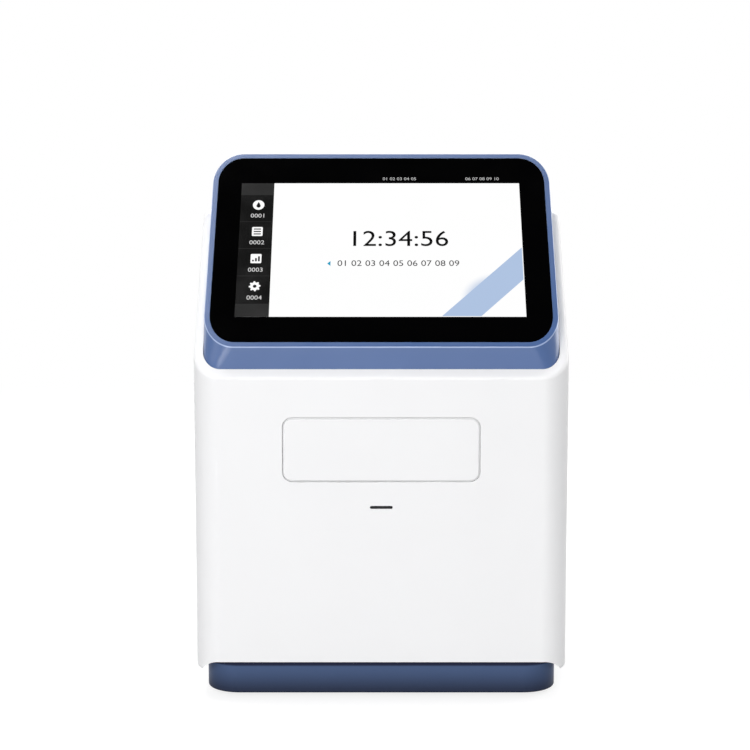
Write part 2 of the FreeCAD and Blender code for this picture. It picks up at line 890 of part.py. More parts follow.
def make_chassis_deck():
    """The folded sheet deck that carries the drawer, the optics and the main board."""
    front = front_y + deck_front_back
    rear = panel_inner_y - deck_rear_gap
    low = deck_top_z - deck_sheet
    shape = block(-deck_half_width, deck_half_width, front, rear, low, deck_top_z)
    for side in (-1, 1):
        outer = side * deck_half_width
        inner = side * (deck_half_width - deck_sheet)
        flange = block(min(outer, inner), max(outer, inner), front, rear, low - deck_flange, low)
        shape = merge(shape, [flange])
    half_width = deck_window_width / 2
    half_length = deck_window_length / 2
    return shape.cut(rounded_block(
        -half_width, half_width, well_y - half_length, well_y + half_length, low - overrun,
        deck_top_z + overrun, rear_window_radius))


def make_drawer_front():
    """The drawer's front panel, flush with the sleeve, with a step round it and a rib behind."""
    panel = drawer_window(drawer_front_gap, front_y, tray_front_y)
    panel = panel.makeFillet(drawer_edge_round, drawer_edges(panel))
    step = drawer_window(drawer_back_gap, front_y + drawer_step_depth, tray_front_y)
    ring_rear = tray_front_y + drawer_front_rib
    ring = drawer_window(drawer_front_gap + drawer_front_rib_inset, tray_front_y, ring_rear)
    inset = drawer_front_gap + drawer_front_rib_inset + rib_thickness
    ring = ring.cut(drawer_window(inset, tray_front_y - slide_gap, ring_rear + slide_gap))
    half_width = tray_width / 2 + slide_gap
    ring = ring.cut(block(
        -half_width, half_width, tray_front_y, ring_rear + slide_gap, tray_low_z - slide_gap,
        tray_top_z + slide_gap))
    return merge(panel, [step, ring])


def make_drawer_tray():
    """The drawer's moulded tray with its round well, open underneath."""
    half_width = tray_width / 2
    shape = rounded_block(
        -half_width, half_width, tray_front_y, tray_rear_y, tray_low_z, tray_top_z,
        tray_corner_radius)
    inner = half_width - tray_wall
    shape = shape.cut(block(
        -inner, inner, tray_front_y + tray_wall, tray_rear_y - tray_wall, tray_low_z - overrun,
        tray_top_z - tray_wall))
    cup = rod(well_radius + tray_wall, V(0, well_y, well_underside_z), V(0, well_y, tray_top_z))
    rib_right = rack_outer_x + tray_wall
    rib = block(
        rack_outer_x, rib_right, tray_front_y, tray_rear_y, well_underside_z, tray_top_z)
    shape = merge(shape, [cup, rib])
    pinion_x = pinion_centre().x
    shape = shape.cut(block(
        pinion_x - slide_gap, pinion_x + pinion_width + slide_gap, tray_front_y + rack_start,
        tray_rear_y + overrun, tray_low_z - overrun, well_underside_z))
    shape = shape.cut(rod(well_radius, V(0, well_y, well_floor_z), V(0, well_y, tray_top_z + overrun)))
    return shape.cut(rod(
        spindle_hole_radius, V(0, well_y, well_underside_z - overrun), V(0, well_y, tray_top_z)))


def rail_middle_z():
    """The height of the middle of the drawer's rails."""
    return tray_low_z + rail_lift + inner_rail_height / 2


def make_inner_rail(side):
    """One of the two bars on the tray's sides."""
    outer = side * (tray_width / 2 + inner_rail_thickness)
    inner = side * tray_width / 2
    middle = rail_middle_z()
    start = tray_front_y + inner_rail_start
    return block(
        min(outer, inner), max(outer, inner), start, start + inner_rail_length,
        middle - inner_rail_height / 2, middle + inner_rail_height / 2)


def rail_outer_x():
    """How far the outer rail's web reaches from the middle."""
    return tray_width / 2 + inner_rail_thickness + slide_gap + rail_sheet


def make_outer_rail(side):
    """One of the two folded channels that the drawer's bars run in."""
    middle = rail_middle_z()
    half_height = inner_rail_height / 2 + slide_gap + rail_sheet
    web = rail_outer_x()
    start = front_inner_y + outer_rail_start
    end = start + outer_rail_length
    near = tray_width / 2 + rail_tray_gap
    channel = block(near, web, start, end, middle - half_height, middle + half_height)
    inside = half_height - rail_sheet
    channel = channel.cut(block(
        near - overrun, web - rail_sheet, start - overrun, end + overrun, middle - inside,
        middle + inside))
    return channel if side > 0 else channel.mirror(V(0, 0, 0), X_AXIS)


def make_rail_bracket(side):
    """The angle bracket that carries an outer rail on the deck."""
    near = rail_outer_x()
    web = near + rail_plate
    start = front_inner_y + rail_bracket_start
    end = front_inner_y + outer_rail_start + outer_rail_length
    top = rail_middle_z() + inner_rail_height / 2 + slide_gap + rail_sheet
    shape = block(near, web, start, end, deck_top_z, top)
    foot = block(web, web + rail_foot_width, start, end, deck_top_z, deck_top_z + rail_plate)
    shape = merge(shape, [foot])
    hole_z = (deck_top_z + rail_middle_z() - inner_rail_height / 2) / 2
    count = int((end - start) / rail_hole_spacing)
    for index in range(count):
        y = start + rail_hole_spacing * (index + 1 / 2)
        hole = rod(rail_hole_radius, V(near - overrun, y, hole_z), V(web + overrun, y, hole_z))
        shape = shape.cut(hole)
    return shape if side > 0 else shape.mirror(V(0, 0, 0), X_AXIS)


def pinion_centre():
    """The middle of the pinion's outer face."""
    return V(rack_outer_x - slide_gap, front_inner_y + pinion_back, pinion_z)


def make_drawer_rack():
    """The toothed rack under the tray."""
    pitch = math.pi * gear_module
    tip_z = rack_pitch_z - gear_module
    root_z = rack_pitch_z + gear_module * (1 + root_clearance_share)
    lean = math.tan(math.radians(pressure_angle_deg))
    half_tooth = pitch / 4 - gear_backlash / 4
    start = tray_front_y + rack_start
    end = start + drawer_travel + rack_end_margin
    points = [(start, well_underside_z), (start, root_z)]
    centre = pinion_centre().y + pitch / 2
    first = centre - pitch * math.floor((centre - start - pitch / 2) / pitch)
    teeth = int((end - first - pitch / 2) / pitch) + 1
    for index in range(teeth):
        y = first + index * pitch
        root_half = half_tooth + (root_z - rack_pitch_z) * lean
        tip_half = half_tooth - gear_module * lean
        points += [(y - root_half, root_z), (y - tip_half, tip_z)]
        points += [(y + tip_half, tip_z), (y + root_half, root_z)]
    points += [(end, root_z), (end, well_underside_z)]
    return extrude_side(points, rack_outer_x, rack_outer_x + rack_width)


def involute_angle(radius, base_radius):
    """The involute's polar angle at a radius."""
    pressure = math.acos(min(base_radius / radius, 1))
    return math.tan(pressure) - pressure


def gear_outline(teeth, module, backlash):
    """The closed outline of an involute gear in the YZ plane, with one tooth pointing up."""
    pitch_radius = module * teeth / 2
    base_radius = pitch_radius * math.cos(math.radians(pressure_angle_deg))
    tip_radius = pitch_radius + module
    root_radius = pitch_radius - module * (1 + root_clearance_share)
    half_tooth = math.pi / teeth / 2 - backlash / pitch_radius / 4
    half_base = half_tooth + involute_angle(pitch_radius, base_radius)

    def polar(radius, angle):
        return V(0, radius * math.sin(angle), radius * math.cos(angle))

    edges = []
    for tooth in range(teeth):
        middle = math.tau * tooth / teeth
        next_middle = math.tau * (tooth + 1) / teeth
        radii = [base_radius + (tip_radius - base_radius) * step / (flank_points - 1)
                 for step in range(flank_points)]
        halves = [half_base - involute_angle(radius, base_radius) for radius in radii]
        left = [polar(radius, middle - half) for radius, half in zip(radii, halves)]
        right = [polar(radius, middle + half) for radius, half in zip(radii, halves)]
        root_left = polar(root_radius, middle - half_base)
        root_right = polar(root_radius, middle + half_base)
        root_middle = polar(root_radius, (middle + next_middle) / 2)
        root_next = polar(root_radius, next_middle - half_base)
        edges.append(Part.makeLine(root_left, left[0]))
        for flank in (left, right):
            curve = Part.BSplineCurve()
            curve.interpolate(flank)
            edges.append(curve.toShape())
        edges.append(Part.Arc(left[-1], polar(tip_radius, middle), right[-1]).toShape())
        edges.append(Part.makeLine(right[0], root_right))
        edges.append(Part.Arc(root_right, root_middle, root_next).toShape())
    return Part.Wire(Part.__sortEdges__(edges))


def make_drive_pinion():
    """The pinion that drives the rack, in one with its shaft."""
    outline = Part.Face(gear_outline(pinion_teeth, gear_module, gear_backlash))
    gear = outline.extrude(V(pinion_width, 0, 0))
    gear.translate(pinion_centre())
    centre = pinion_centre()
    shaft_end = drive_face_x() + pinion_shaft_length
    return merge(gear, [rod(pinion_shaft_radius, centre, V(shaft_end, centre.y, centre.z))])


def drive_face_x():
    """Where the drive motor's front face meets its bracket."""
    nose = slide_gap + drive_motor_nose_length + drive_bracket_thickness
    return pinion_centre().x + pinion_width + nose


def make_drive_motor():
    """The small gear motor that turns the pinion."""
    centre = pinion_centre()
    face = drive_face_x()
    body = rod(
        drive_motor_radius, V(face, centre.y, centre.z),
        V(face + drive_motor_length, centre.y, centre.z))
    ends = [edge for edge in body.Edges
            if edge.BoundBox.XMin > face + slide_gap and edge.BoundBox.XLength < slide_gap]
    body = body.makeChamfer(base_edge_round, ends)
    nose_start = face - drive_bracket_thickness - drive_motor_nose_length
    nose = rod(
        drive_motor_nose_radius, V(nose_start, centre.y, centre.z), V(face, centre.y, centre.z))
    body = merge(body, [nose])
    bore_end = face + pinion_shaft_length + slide_gap
    return body.cut(rod(
        pinion_shaft_radius + shaft_gap, V(nose_start - overrun, centre.y, centre.z),
        V(bore_end, centre.y, centre.z)))


def make_drive_bracket():
    """The angle bracket that holds the drive motor on the deck."""
    centre = pinion_centre()
    face = drive_face_x()
    half_width = drive_bracket_width / 2
    web = block(
        face - drive_bracket_thickness, face, centre.y - half_width, centre.y + half_width,
        deck_top_z, centre.z + drive_motor_radius)
    foot = block(
        face, face + drive_bracket_foot, centre.y - half_width, centre.y + half_width,
        deck_top_z, deck_top_z + drive_bracket_thickness)
    shape = merge(web, [foot])
    return shape.cut(rod(
        drive_motor_nose_radius + slide_gap, V(face - overrun, centre.y, centre.z),
        V(face + slide_gap, centre.y, centre.z)))


def make_turntable():
    """The round plate in the tray's well, with lightening holes."""
    low = well_floor_z + turntable_lift
    high = low + turntable_thickness
    plate = rod(turntable_radius, V(0, well_y, low), V(0, well_y, high))
    rim = [edge for edge in plate.Edges if edge.BoundBox.ZMin > low]
    plate = plate.makeChamfer(turntable_thickness / 3, rim)
    plate = plate.cut(rod(
        spindle_nose_radius + slide_gap, V(0, well_y, low - overrun),
        V(0, well_y, high + overrun)))
    for index in range(turntable_slots):
        angle = math.tau * index / turntable_slots
        x = turntable_slot_radius * math.cos(angle)
        y = well_y + turntable_slot_radius * math.sin(angle)
        plate = plate.cut(rod(turntable_slot_hole, V(x, y, low - overrun), V(x, y, high + overrun)))
    pins = []
    for index in range(locating_pins):
        angle = math.tau * (index / locating_pins + 1 / turntable_slots / 2)
        x = locating_pin_circle * math.cos(angle)
        y = well_y + locating_pin_circle * math.sin(angle)
        pins.append(rod(locating_pin_radius, V(x, y, low), V(x, y, high + locating_pin_height)))
    return merge(plate, pins)


def make_turntable_spindle():
    """The spindle that carries the turntable and turns in the motor."""
    seat = well_floor_z + turntable_lift
    nose_top = seat + turntable_thickness + spindle_nose_height
    bottom = well_underside_z - spindle_reach
    points = [
        (0, bottom),
        (spindle_shaft_radius, bottom),
        (spindle_shaft_radius, seat - turntable_lift / 2),
        (spindle_flange_radius, seat - turntable_lift / 2),
        (spindle_flange_radius, seat),
        (spindle_nose_radius, seat),
        (spindle_nose_radius, nose_top - spindle_nose_height / 4),
        (spindle_nose_radius - spindle_nose_height / 4, nose_top),
        (0, nose_top),
    ]
    return revolve_z(points, 0, well_y)


def make_turntable_motor():
    """The flat motor under the tray's well."""
    low = tray_low_z + turntable_motor_sink
    top = well_underside_z
    nose = top + tray_wall
    step = base_edge_round
    bore = spindle_shaft_radius + shaft_gap
    points = [
        (bore, low),
        (turntable_motor_radius - step, low),
        (turntable_motor_radius, low + step),
        (turntable_motor_radius, top),
        (turntable_motor_nose_radius, top),
        (turntable_motor_nose_radius, nose),
        (bore, nose),
    ]
    return revolve_z(points, 0, well_y)


def make_optics_bridge():
    """The folded sheet bridge over the drawer."""
    front = front_y + bridge_front_back
    rear = front + bridge_length
    outer = bridge_half_width
    foot = outer + bridge_foot
    inner = outer - bridge_sheet
    top = bridge_top_z
    corners = [
        (-foot, deck_top_z), (-inner, deck_top_z), (-inner, top - bridge_sheet),
        (inner, top - bridge_sheet), (inner, deck_top_z), (foot, deck_top_z),
        (foot, deck_top_z + bridge_sheet), (outer, deck_top_z + bridge_sheet), (outer, top),
        (-outer, top), (-outer, deck_top_z + bridge_sheet), (-foot, deck_top_z + bridge_sheet),
    ]
    points = [V(x, front, z) for x, z in corners]
    face = Part.Face(Part.makePolygon(points + points[:1]))
    shape = face.extrude(V(0, rear - front, 0))
    bends = [edge for edge in shape.Edges
             if is_along(edge, Y_AXIS) and edge.BoundBox.ZMin > top - slide_gap]
    shape = shape.makeFillet(bridge_bend_radius - bridge_sheet / 2, bends)
    for x in (optics_offset_x, -optics_offset_x):
        low = V(x, well_y, top - bridge_sheet - overrun)
        shape = shape.cut(rod(lens_tube_radius + slide_gap, low, V(x, well_y, top + overrun)))
    return shape


def heater_top_z():
    """The heater plate's upper face."""
    return bridge_top_z - bridge_sheet - heater_spacer_height


def make_heater_plate():
    """The round warm plate over the turntable, hung from the bridge by three spacers."""
    top = heater_top_z()
    low = top - heater_thickness
    shape = rod(heater_radius, V(0, well_y, low), V(0, well_y, top))
    spacers = []
    for index in range(locating_pins):
        angle = math.tau * (index / locating_pins + 1 / 4)
        x = heater_spacer_circle * math.cos(angle)
        y = well_y + heater_spacer_circle * math.sin(angle)
        spacers.append(rod(heater_spacer_radius, V(x, y, top), V(x, y, top + heater_spacer_height)))
    shape = merge(shape, spacers)
    for x in (optics_offset_x, -optics_offset_x):
        shape = shape.cut(rod(
            lens_tube_radius + slide_gap, V(x, well_y, low - overrun), V(x, well_y, top + overrun)))
    return shape


def make_optical_head():
    """The photometer block with its lens tube through the bridge."""
    half_width = optical_head_width / 2
    half_length = optical_head_length / 2
    low = bridge_top_z
    high = low + optical_head_height
    shape = rounded_block(
        optics_offset_x - half_width, optics_offset_x + half_width, well_y - half_length,
        well_y + half_length, low, high, optical_head_round)
    top = [edge for edge in shape.Edges if edge.BoundBox.ZMin > high - slide_gap]
    shape = shape.makeChamfer(optical_head_round / 2, top)
    tube_end = V(optics_offset_x, well_y, low - lens_tube_drop)
    tube = rod(lens_tube_radius, tube_end, V(optics_offset_x, well_y, low))
    shape = merge(shape, [tube])
    return shape.cut(rod(
        lens_bore_radius, V(optics_offset_x, well_y, low - lens_tube_drop - overrun),
        V(optics_offset_x, well_y, low)))


def make_optical_lens():
    """The domed lens at the end of the photometer's tube."""
    low = bridge_top_z - lens_tube_drop + lens_thickness / 3
    high = low + lens_thickness
    points = [(0, low), (lens_bore_radius / 2, low + lens_thickness / 8),
              (lens_bore_radius, low + lens_thickness / 2), (lens_bore_radius, high), (0, high)]
    return revolve_z(points, optics_offset_x, well_y)


def make_lamp_housing():
    """The finned lamp behind the photometer."""
    start = well_y + optical_head_length / 2
    middle_z = bridge_top_z + optical_head_height / 2
    pitch = lamp_length / lamp_fins
    base = V(optics_offset_x, start, middle_z)
    core = rod(lamp_core_radius, base, base + V(0, lamp_length, 0))
    fins = []
    for index in range(lamp_fins):
        low = base + V(0, index * pitch, 0)
        fins.append(rod(lamp_radius, low, low + V(0, lamp_fin_thickness, 0)))
    return merge(core, fins)


def make_code_reader():
    """The code reader that looks down at the disc through the bridge."""
    half_width = reader_width / 2
    half_length = reader_length / 2
    low = bridge_top_z
    shape = rounded_block(
        -optics_offset_x - half_width, -optics_offset_x + half_width, well_y - half_length,
        well_y + half_length, low, low + reader_height, optical_head_round / 2)
    return shape.cut(rod(
        reader_window_radius, V(-optics_offset_x, well_y, low - overrun),
        V(-optics_offset_x, well_y, low + reader_height / 2)))


def fan_centre():
    """The middle of the fan's rear face, on the panel."""
    return V(fan_x, panel_inner_y, foot_height + fan_height)


def grille_cuts():
    """Slots in the panel behind the fan, each as long as the duct is wide there."""
    cuts = []
    centre = fan_centre()
    for index in range(grille_slots):
        rise = (index - (grille_slots - 1) / 2) * grille_pitch
        length = 2 * math.sqrt(fan_duct_radius ** 2 - rise ** 2) - grille_slot
        cuts.append(slot(length, grille_slot, overrun * 2, centre + V(0, -overrun, rise)))
    return cuts


def make_rear_panel():
    """The sheet panel inside the sleeve's rear window."""
    shape = block(
        -panel_half_width, panel_half_width, panel_inner_y, panel_outer_y, base_top_z,
        deck_z - sleeve_wall - panel_top_gap)
    shape = shape.cut(Part.makeCompound(grille_cuts()))
    for index in range(vent_slots):
        rise = (index - (vent_slots - 1) / 2) * grille_pitch
        centre = V(
            (vent_low_x + vent_high_x) / 2, panel_inner_y - overrun, foot_height + vent_height + rise)
        shape = shape.cut(slot(vent_high_x - vent_low_x, grille_slot, overrun * 2, centre))
    shape = shape.cut(inlet_outline(inlet_width / 2 + cutout_gap, inlet_body_height / 2 + cutout_gap,
                                    panel_inner_y - overrun, panel_outer_y + overrun))
    shape = shape.cut(switch_outline(cutout_gap, panel_inner_y - overrun, panel_outer_y + overrun))
    shape = shape.cut(lan_outline(cutout_gap, panel_inner_y - overrun, panel_outer_y + overrun))
    for x in usb_places():
        shape = shape.cut(usb_outline(x, cutout_gap, panel_inner_y - overrun, panel_outer_y + overrun))
    for point in panel_screw_points():
        start = V(point.x, panel_inner_y - overrun, point.z)
        shape = shape.cut(rod(screw_radius + screw_hole_gap, start, point))
    return shape


def make_panel_screws():
    """The screws that hold the sleeve to the rear panel."""
    screws = []
    for point in panel_screw_points():
        head_top = point - V(0, screw_sink, 0)
        head_low = head_top - V(0, screw_head_height, 0)
        head = rod(screw_head_radius, head_low, head_top)
        shank = rod(screw_radius, head_low - V(0, screw_length, 0), head_low)
        screws.append(merge(head, [shank]))
    return Part.makeCompound(screws)


def make_fan_frame():
    """The fan's square frame with its duct, struts and axle."""
    centre = fan_centre()
    half = fan_size / 2
    front = centre.y - fan_thickness
    shape = rounded_block(
        centre.x - half, centre.x + half, front, centre.y, centre.z - half, centre.z + half,
        fan_corner_radius, Y_AXIS)
    shape = shape.cut(rod(
        fan_duct_radius, V(centre.x, front - overrun, centre.z), centre + V(0, overrun, 0)))
    plate_front = centre - V(0, fan_strut_thickness, 0)
    hub = rod(fan_hub_radius, plate_front, centre)
    struts = []
    for index in range(fan_struts):
        strut = block(
            -fan_strut_width / 2, fan_strut_width / 2, -fan_strut_thickness, 0, 0,
            fan_duct_radius + fan_corner_radius / 2)
        strut.rotate(V(0, 0, 0), Y_AXIS, math.degrees(math.tau) * (index + 1 / 2) / fan_struts)
        strut.translate(centre)
        struts.append(strut)
    axle = rod(fan_axle_radius, plate_front - V(0, fan_hub_length - fan_hub_gap * 2, 0), plate_front)
    return merge(shape, [hub, axle] + struts)


def make_fan_rotor():
    """The fan's hub with its pitched blades, turning on the frame's axle."""
    centre = fan_centre()
    rear = centre.y - fan_strut_thickness - fan_hub_gap
    front = rear - fan_hub_length
    hub = rod(fan_hub_radius, V(centre.x, front, centre.z), V(centre.x, rear, centre.z))
    rim = [edge for edge in hub.Edges if edge.BoundBox.YMax < front + slide_gap]
    hub = hub.makeFillet(base_edge_round, rim)
    blades = []
    for index in range(fan_blades):
        blade = block(
            -fan_blade_thickness / 2, fan_blade_thickness / 2, -fan_blade_depth / 2,
            fan_blade_depth / 2, fan_hub_radius - fan_blade_thickness, fan_blade_reach)
        blade.rotate(V(0, 0, 0), Z_AXIS, fan_blade_pitch_deg)
        blade.rotate(V(0, 0, 0), Y_AXIS, math.degrees(math.tau) * index / fan_blades)
        blade.translate(V(centre.x, (front + rear) / 2, centre.z))
        blades.append(blade)
    shape = merge(hub, blades)
    limit = rod(fan_blade_reach, V(centre.x, front, centre.z), V(centre.x, rear, centre.z))
    shape = shape.common(limit)
    bore_start = V(centre.x, front + fan_hub_gap, centre.z)
    return shape.cut(rod(
        fan_axle_radius + shaft_gap, bore_start, V(centre.x, rear + overrun, centre.z)))


def inlet_outline(half_width, half_height, y_low, y_high):
    """The mains inlet's outline, with its two upper corners cut off."""
    z = foot_height + inlet_height
    corner = inlet_corner
    points = [
        (-half_width, z - half_height), (half_width, z - half_height),
        (half_width, z + half_height - corner), (half_width - corner, z + half_height),
        (-half_width + corner, z + half_height), (-half_width, z + half_height - corner),
    ]
    corners = [V(inlet_x + x, y_low, height) for x, height in points]
    face = Part.Face(Part.makePolygon(corners + corners[:1]))
    return face.extrude(V(0, y_high - y_low, 0))


def make_power_inlet():
    """The three-pin mains inlet, flanged on the panel's outer face."""
    body = inlet_outline(
        inlet_width / 2, inlet_body_height / 2, panel_outer_y - inlet_depth,
        panel_outer_y + inlet_flange_thickness)
    flange = inlet_outline(
        inlet_width / 2 + inlet_flange, inlet_body_height / 2 + inlet_flange, panel_outer_y,
        panel_outer_y + inlet_flange_thickness)
    recess = inlet_outline(
        inlet_recess_width / 2, inlet_recess_height / 2,
        panel_outer_y + inlet_flange_thickness - inlet_recess_depth, panel_outer_y + overrun)
    shape = merge(body, [flange]).cut(recess)
    pins = []
    floor_y = panel_outer_y + inlet_flange_thickness - inlet_recess_depth
    z = foot_height + inlet_height
    places = [(-inlet_pin_spacing, -inlet_pin_lift), (0, inlet_pin_lift),
              (inlet_pin_spacing, -inlet_pin_lift)]
    for x, lift in places:
        pins.append(block(
            inlet_x + x - inlet_pin_width / 2, inlet_x + x + inlet_pin_width / 2, floor_y,
            floor_y + inlet_pin_length, z + lift - inlet_pin_height / 2,
            z + lift + inlet_pin_height / 2))
    return merge(shape, pins)


def switch_outline(gap, y_low, y_high):
    """The power switch's outline, made larger by a gap."""
    z = foot_height + inlet_height
    return block(
        switch_x - switch_width / 2 - gap, switch_x + switch_width / 2 + gap, y_low, y_high,
        z - switch_height / 2 - gap, z + switch_height / 2 + gap)


def rocker_pivot():
    """The middle of the rocker's axle."""
    return V(switch_x, panel_outer_y - rocker_axle_depth, foot_height + inlet_height)


def make_switch_body():
    """The power switch's body with its flange, open to the rear for the rocker."""
    body = switch_outline(0, panel_outer_y - switch_depth, panel_outer_y)
    flange = switch_outline(switch_flange, panel_outer_y, panel_outer_y + switch_flange_thickness)
    shape = merge(body, [flange])
    hollow = switch_outline(
        -switch_wall, panel_outer_y - switch_depth + switch_wall, panel_outer_y + overrun)
    shape = shape.cut(hollow)
    pivot = rocker_pivot()
    reach = V(switch_width / 2 - switch_wall / 2, 0, 0)
    return shape.cut(rod(rocker_axle_radius + shaft_gap, pivot - reach, pivot + reach))


def make_switch_rocker():
    """The rocker with its two dished faces and its axle, shown switched off."""
    pivot = rocker_pivot()
    half_width = switch_width / 2 - switch_wall - rocker_gap
    face_y = panel_outer_y + switch_flange_thickness - rocker_sink - pivot.y
    tilt = math.radians(rocker_tilt_deg)
    room = switch_height / 2 - switch_wall - rocker_gap
    half_height = (room - (face_y + rocker_sink) * math.sin(tilt)) / math.cos(tilt)
    dish = math.tan(tilt) * half_height
    points = [
        (0, -rocker_thickness), (face_y - rocker_thickness / 2, -half_height),
        (face_y + dish / 2, -half_height), (face_y - dish / 4, 0),
        (face_y + dish / 2, half_height), (face_y - rocker_thickness / 2, half_height),
        (0, rocker_thickness),
    ]
    shape = extrude_side(points, -half_width, half_width)
    reach = switch_width / 2 - switch_wall / 2 - shaft_gap
    axle = rod(rocker_axle_radius, V(-reach, 0, 0), V(reach, 0, 0))
    shape = merge(shape, [axle])
    shape.rotate(V(0, 0, 0), X_AXIS, rocker_tilt_deg)
    shape.translate(pivot)
    return shape


def lan_outline(gap, y_low, y_high):
    """The network socket's outline, made larger by a gap."""
    return block(
        lan_x - lan_width / 2 - gap, lan_x + lan_width / 2 + gap, y_low, y_high,
        board_top_z - gap, board_top_z + lan_height + gap)


def make_lan_socket():
    """The network socket on the main board."""
    shape = lan_outline(0, panel_outer_y - lan_depth, panel_outer_y)
    half_width = lan_socket_width / 2
    low = board_top_z + lan_socket_lift
    recess = block(
        lan_x - half_width, lan_x + half_width, panel_outer_y - lan_socket_depth,
        panel_outer_y + overrun, low, low + lan_socket_height)
    key = block(
        lan_x - half_width / 2, lan_x + half_width / 2, panel_outer_y - lan_socket_depth,
        panel_outer_y + overrun, low - lan_socket_lift / 2, low)
    return shape.cut(merge(recess, [key]))


def usb_places():
    """The middles of the data sockets along X."""
    return [usb_x - index * usb_spacing for index in range(usb_count)]


def usb_outline(x, gap, y_low, y_high):
    """A data socket's outline, made larger by a gap."""
    return block(
        x - usb_width / 2 - gap, x + usb_width / 2 + gap, y_low, y_high, board_top_z - gap,
        board_top_z + usb_height + gap)


def make_usb_sockets():
    """The data sockets on the main board, each a folded shell with a tongue."""
    sockets = []
    for x in usb_places():
        shell = usb_outline(x, 0, panel_outer_y - usb_depth, panel_outer_y)
        shell = shell.cut(usb_outline(
            x, -usb_shell, panel_outer_y - usb_socket_depth, panel_outer_y + overrun))
        tongue_low = board_top_z + usb_height / 2 + usb_shell / 2
        tongue = block(
            x - usb_tongue_width / 2, x + usb_tongue_width / 2, panel_outer_y - usb_socket_depth,
            panel_outer_y - usb_shell, tongue_low, tongue_low + usb_tongue_height)
        sockets.append(merge(shell, [tongue]))
    return Part.makeCompound(sockets)


def board_standoff_points():
    """The four standoffs under the main board, on the deck."""
    left = board_left_x + board_standoff_inset
    right = board_right_x - board_standoff_inset
    front = board_front_y + board_standoff_inset
    rear = panel_inner_y - deck_rear_gap - board_standoff_inset
    return [V(x, y, deck_top_z) for x in (left, right) for y in (front, rear)]


def make_board_standoffs():
    """The main board's standoffs."""
    rise = V(0, 0, board_standoff_height)
    return Part.makeCompound([rod(board_standoff_radius, point, point + rise)
                              for point in board_standoff_points()])


def make_main_board():
    """The main circuit board on the deck, with its edge at the rear panel."""
    return rounded_block(
        board_left_x, board_right_x, board_front_y, board_rear_y, board_low_z, board_top_z,
        board_standoff_radius)


def make_board_heatsink():
    """The finned heat sink on the main board."""
    half = heatsink_size / 2
    base = block(
        heatsink_x - half, heatsink_x + half, heatsink_y - half, heatsink_y + half, board_top_z,
        board_top_z + heatsink_base)
    pitch = (heatsink_size - heatsink_fin_thickness) / (heatsink_fins - 1)
    fins = []
    for index in range(heatsink_fins):
        x = heatsink_x - half + index * pitch
        fins.append(block(
            x, x + heatsink_fin_thickness, heatsink_y - half, heatsink_y + half,
            board_top_z + heatsink_base, board_top_z + heatsink_base + heatsink_fin_height))
    return merge(base, fins)


def make_power_supply():
    """The caged power supply on the tub's ribs."""
    low = base_floor_z + rib_height
    high = low + supply_height
    half = supply_width / 2
    front = supply_rear_y - supply_length
    shape = rounded_block(
        supply_x - half, supply_x + half, front, supply_rear_y, low, high, supply_round)
    for index in range(supply_slots):
        y = front + supply_length / 2 + (index - (supply_slots - 1) / 2) * supply_slot_pitch
        shape = shape.cut(block(
            supply_x - supply_slot_length / 2, supply_x + supply_slot_length / 2,
            y - supply_slot / 2, y + supply_slot / 2, high - supply_slot_depth, high + overrun))
    return shape


def make_speaker():
    """The small round speaker on the tub's floor."""
    low = base_floor_z
    rim = low + speaker_rim_height
    points = [(0, low), (speaker_radius, low), (speaker_radius, rim),
              (speaker_magnet_radius + speaker_rim_height, rim + speaker_rim_height),
              (speaker_magnet_radius, rim + speaker_rim_height),
              (speaker_magnet_radius, low + speaker_height), (0, low + speaker_height)]
    return revolve_z(points, speaker_x, speaker_y)


def make_light_lens():
    """The dark lens of the status light, flanged behind the sleeve's front."""
    z = foot_height + light_height
    body = slot(
        light_slot_length - light_lens_gap * 2, light_slot_height - light_lens_gap * 2,
        sleeve_wall - light_lens_gap, V(0, front_y + light_lens_gap, z))
    flange = slot(
        light_slot_length + light_flange, light_slot_height + light_flange,
        light_flange_thickness, V(0, front_inner_y, z))
    return merge(body, [flange])


def make_light_board():
    """The status light's small board on its bosses."""
    z = foot_height + light_height
    low = front_inner_y + light_flange_thickness
    half = light_board_width / 2
    return rounded_block(
        -half, half, low, low + board_thickness, z - light_board_height / 2,
        z + light_board_height / 2, light_boss_radius, Y_AXIS)


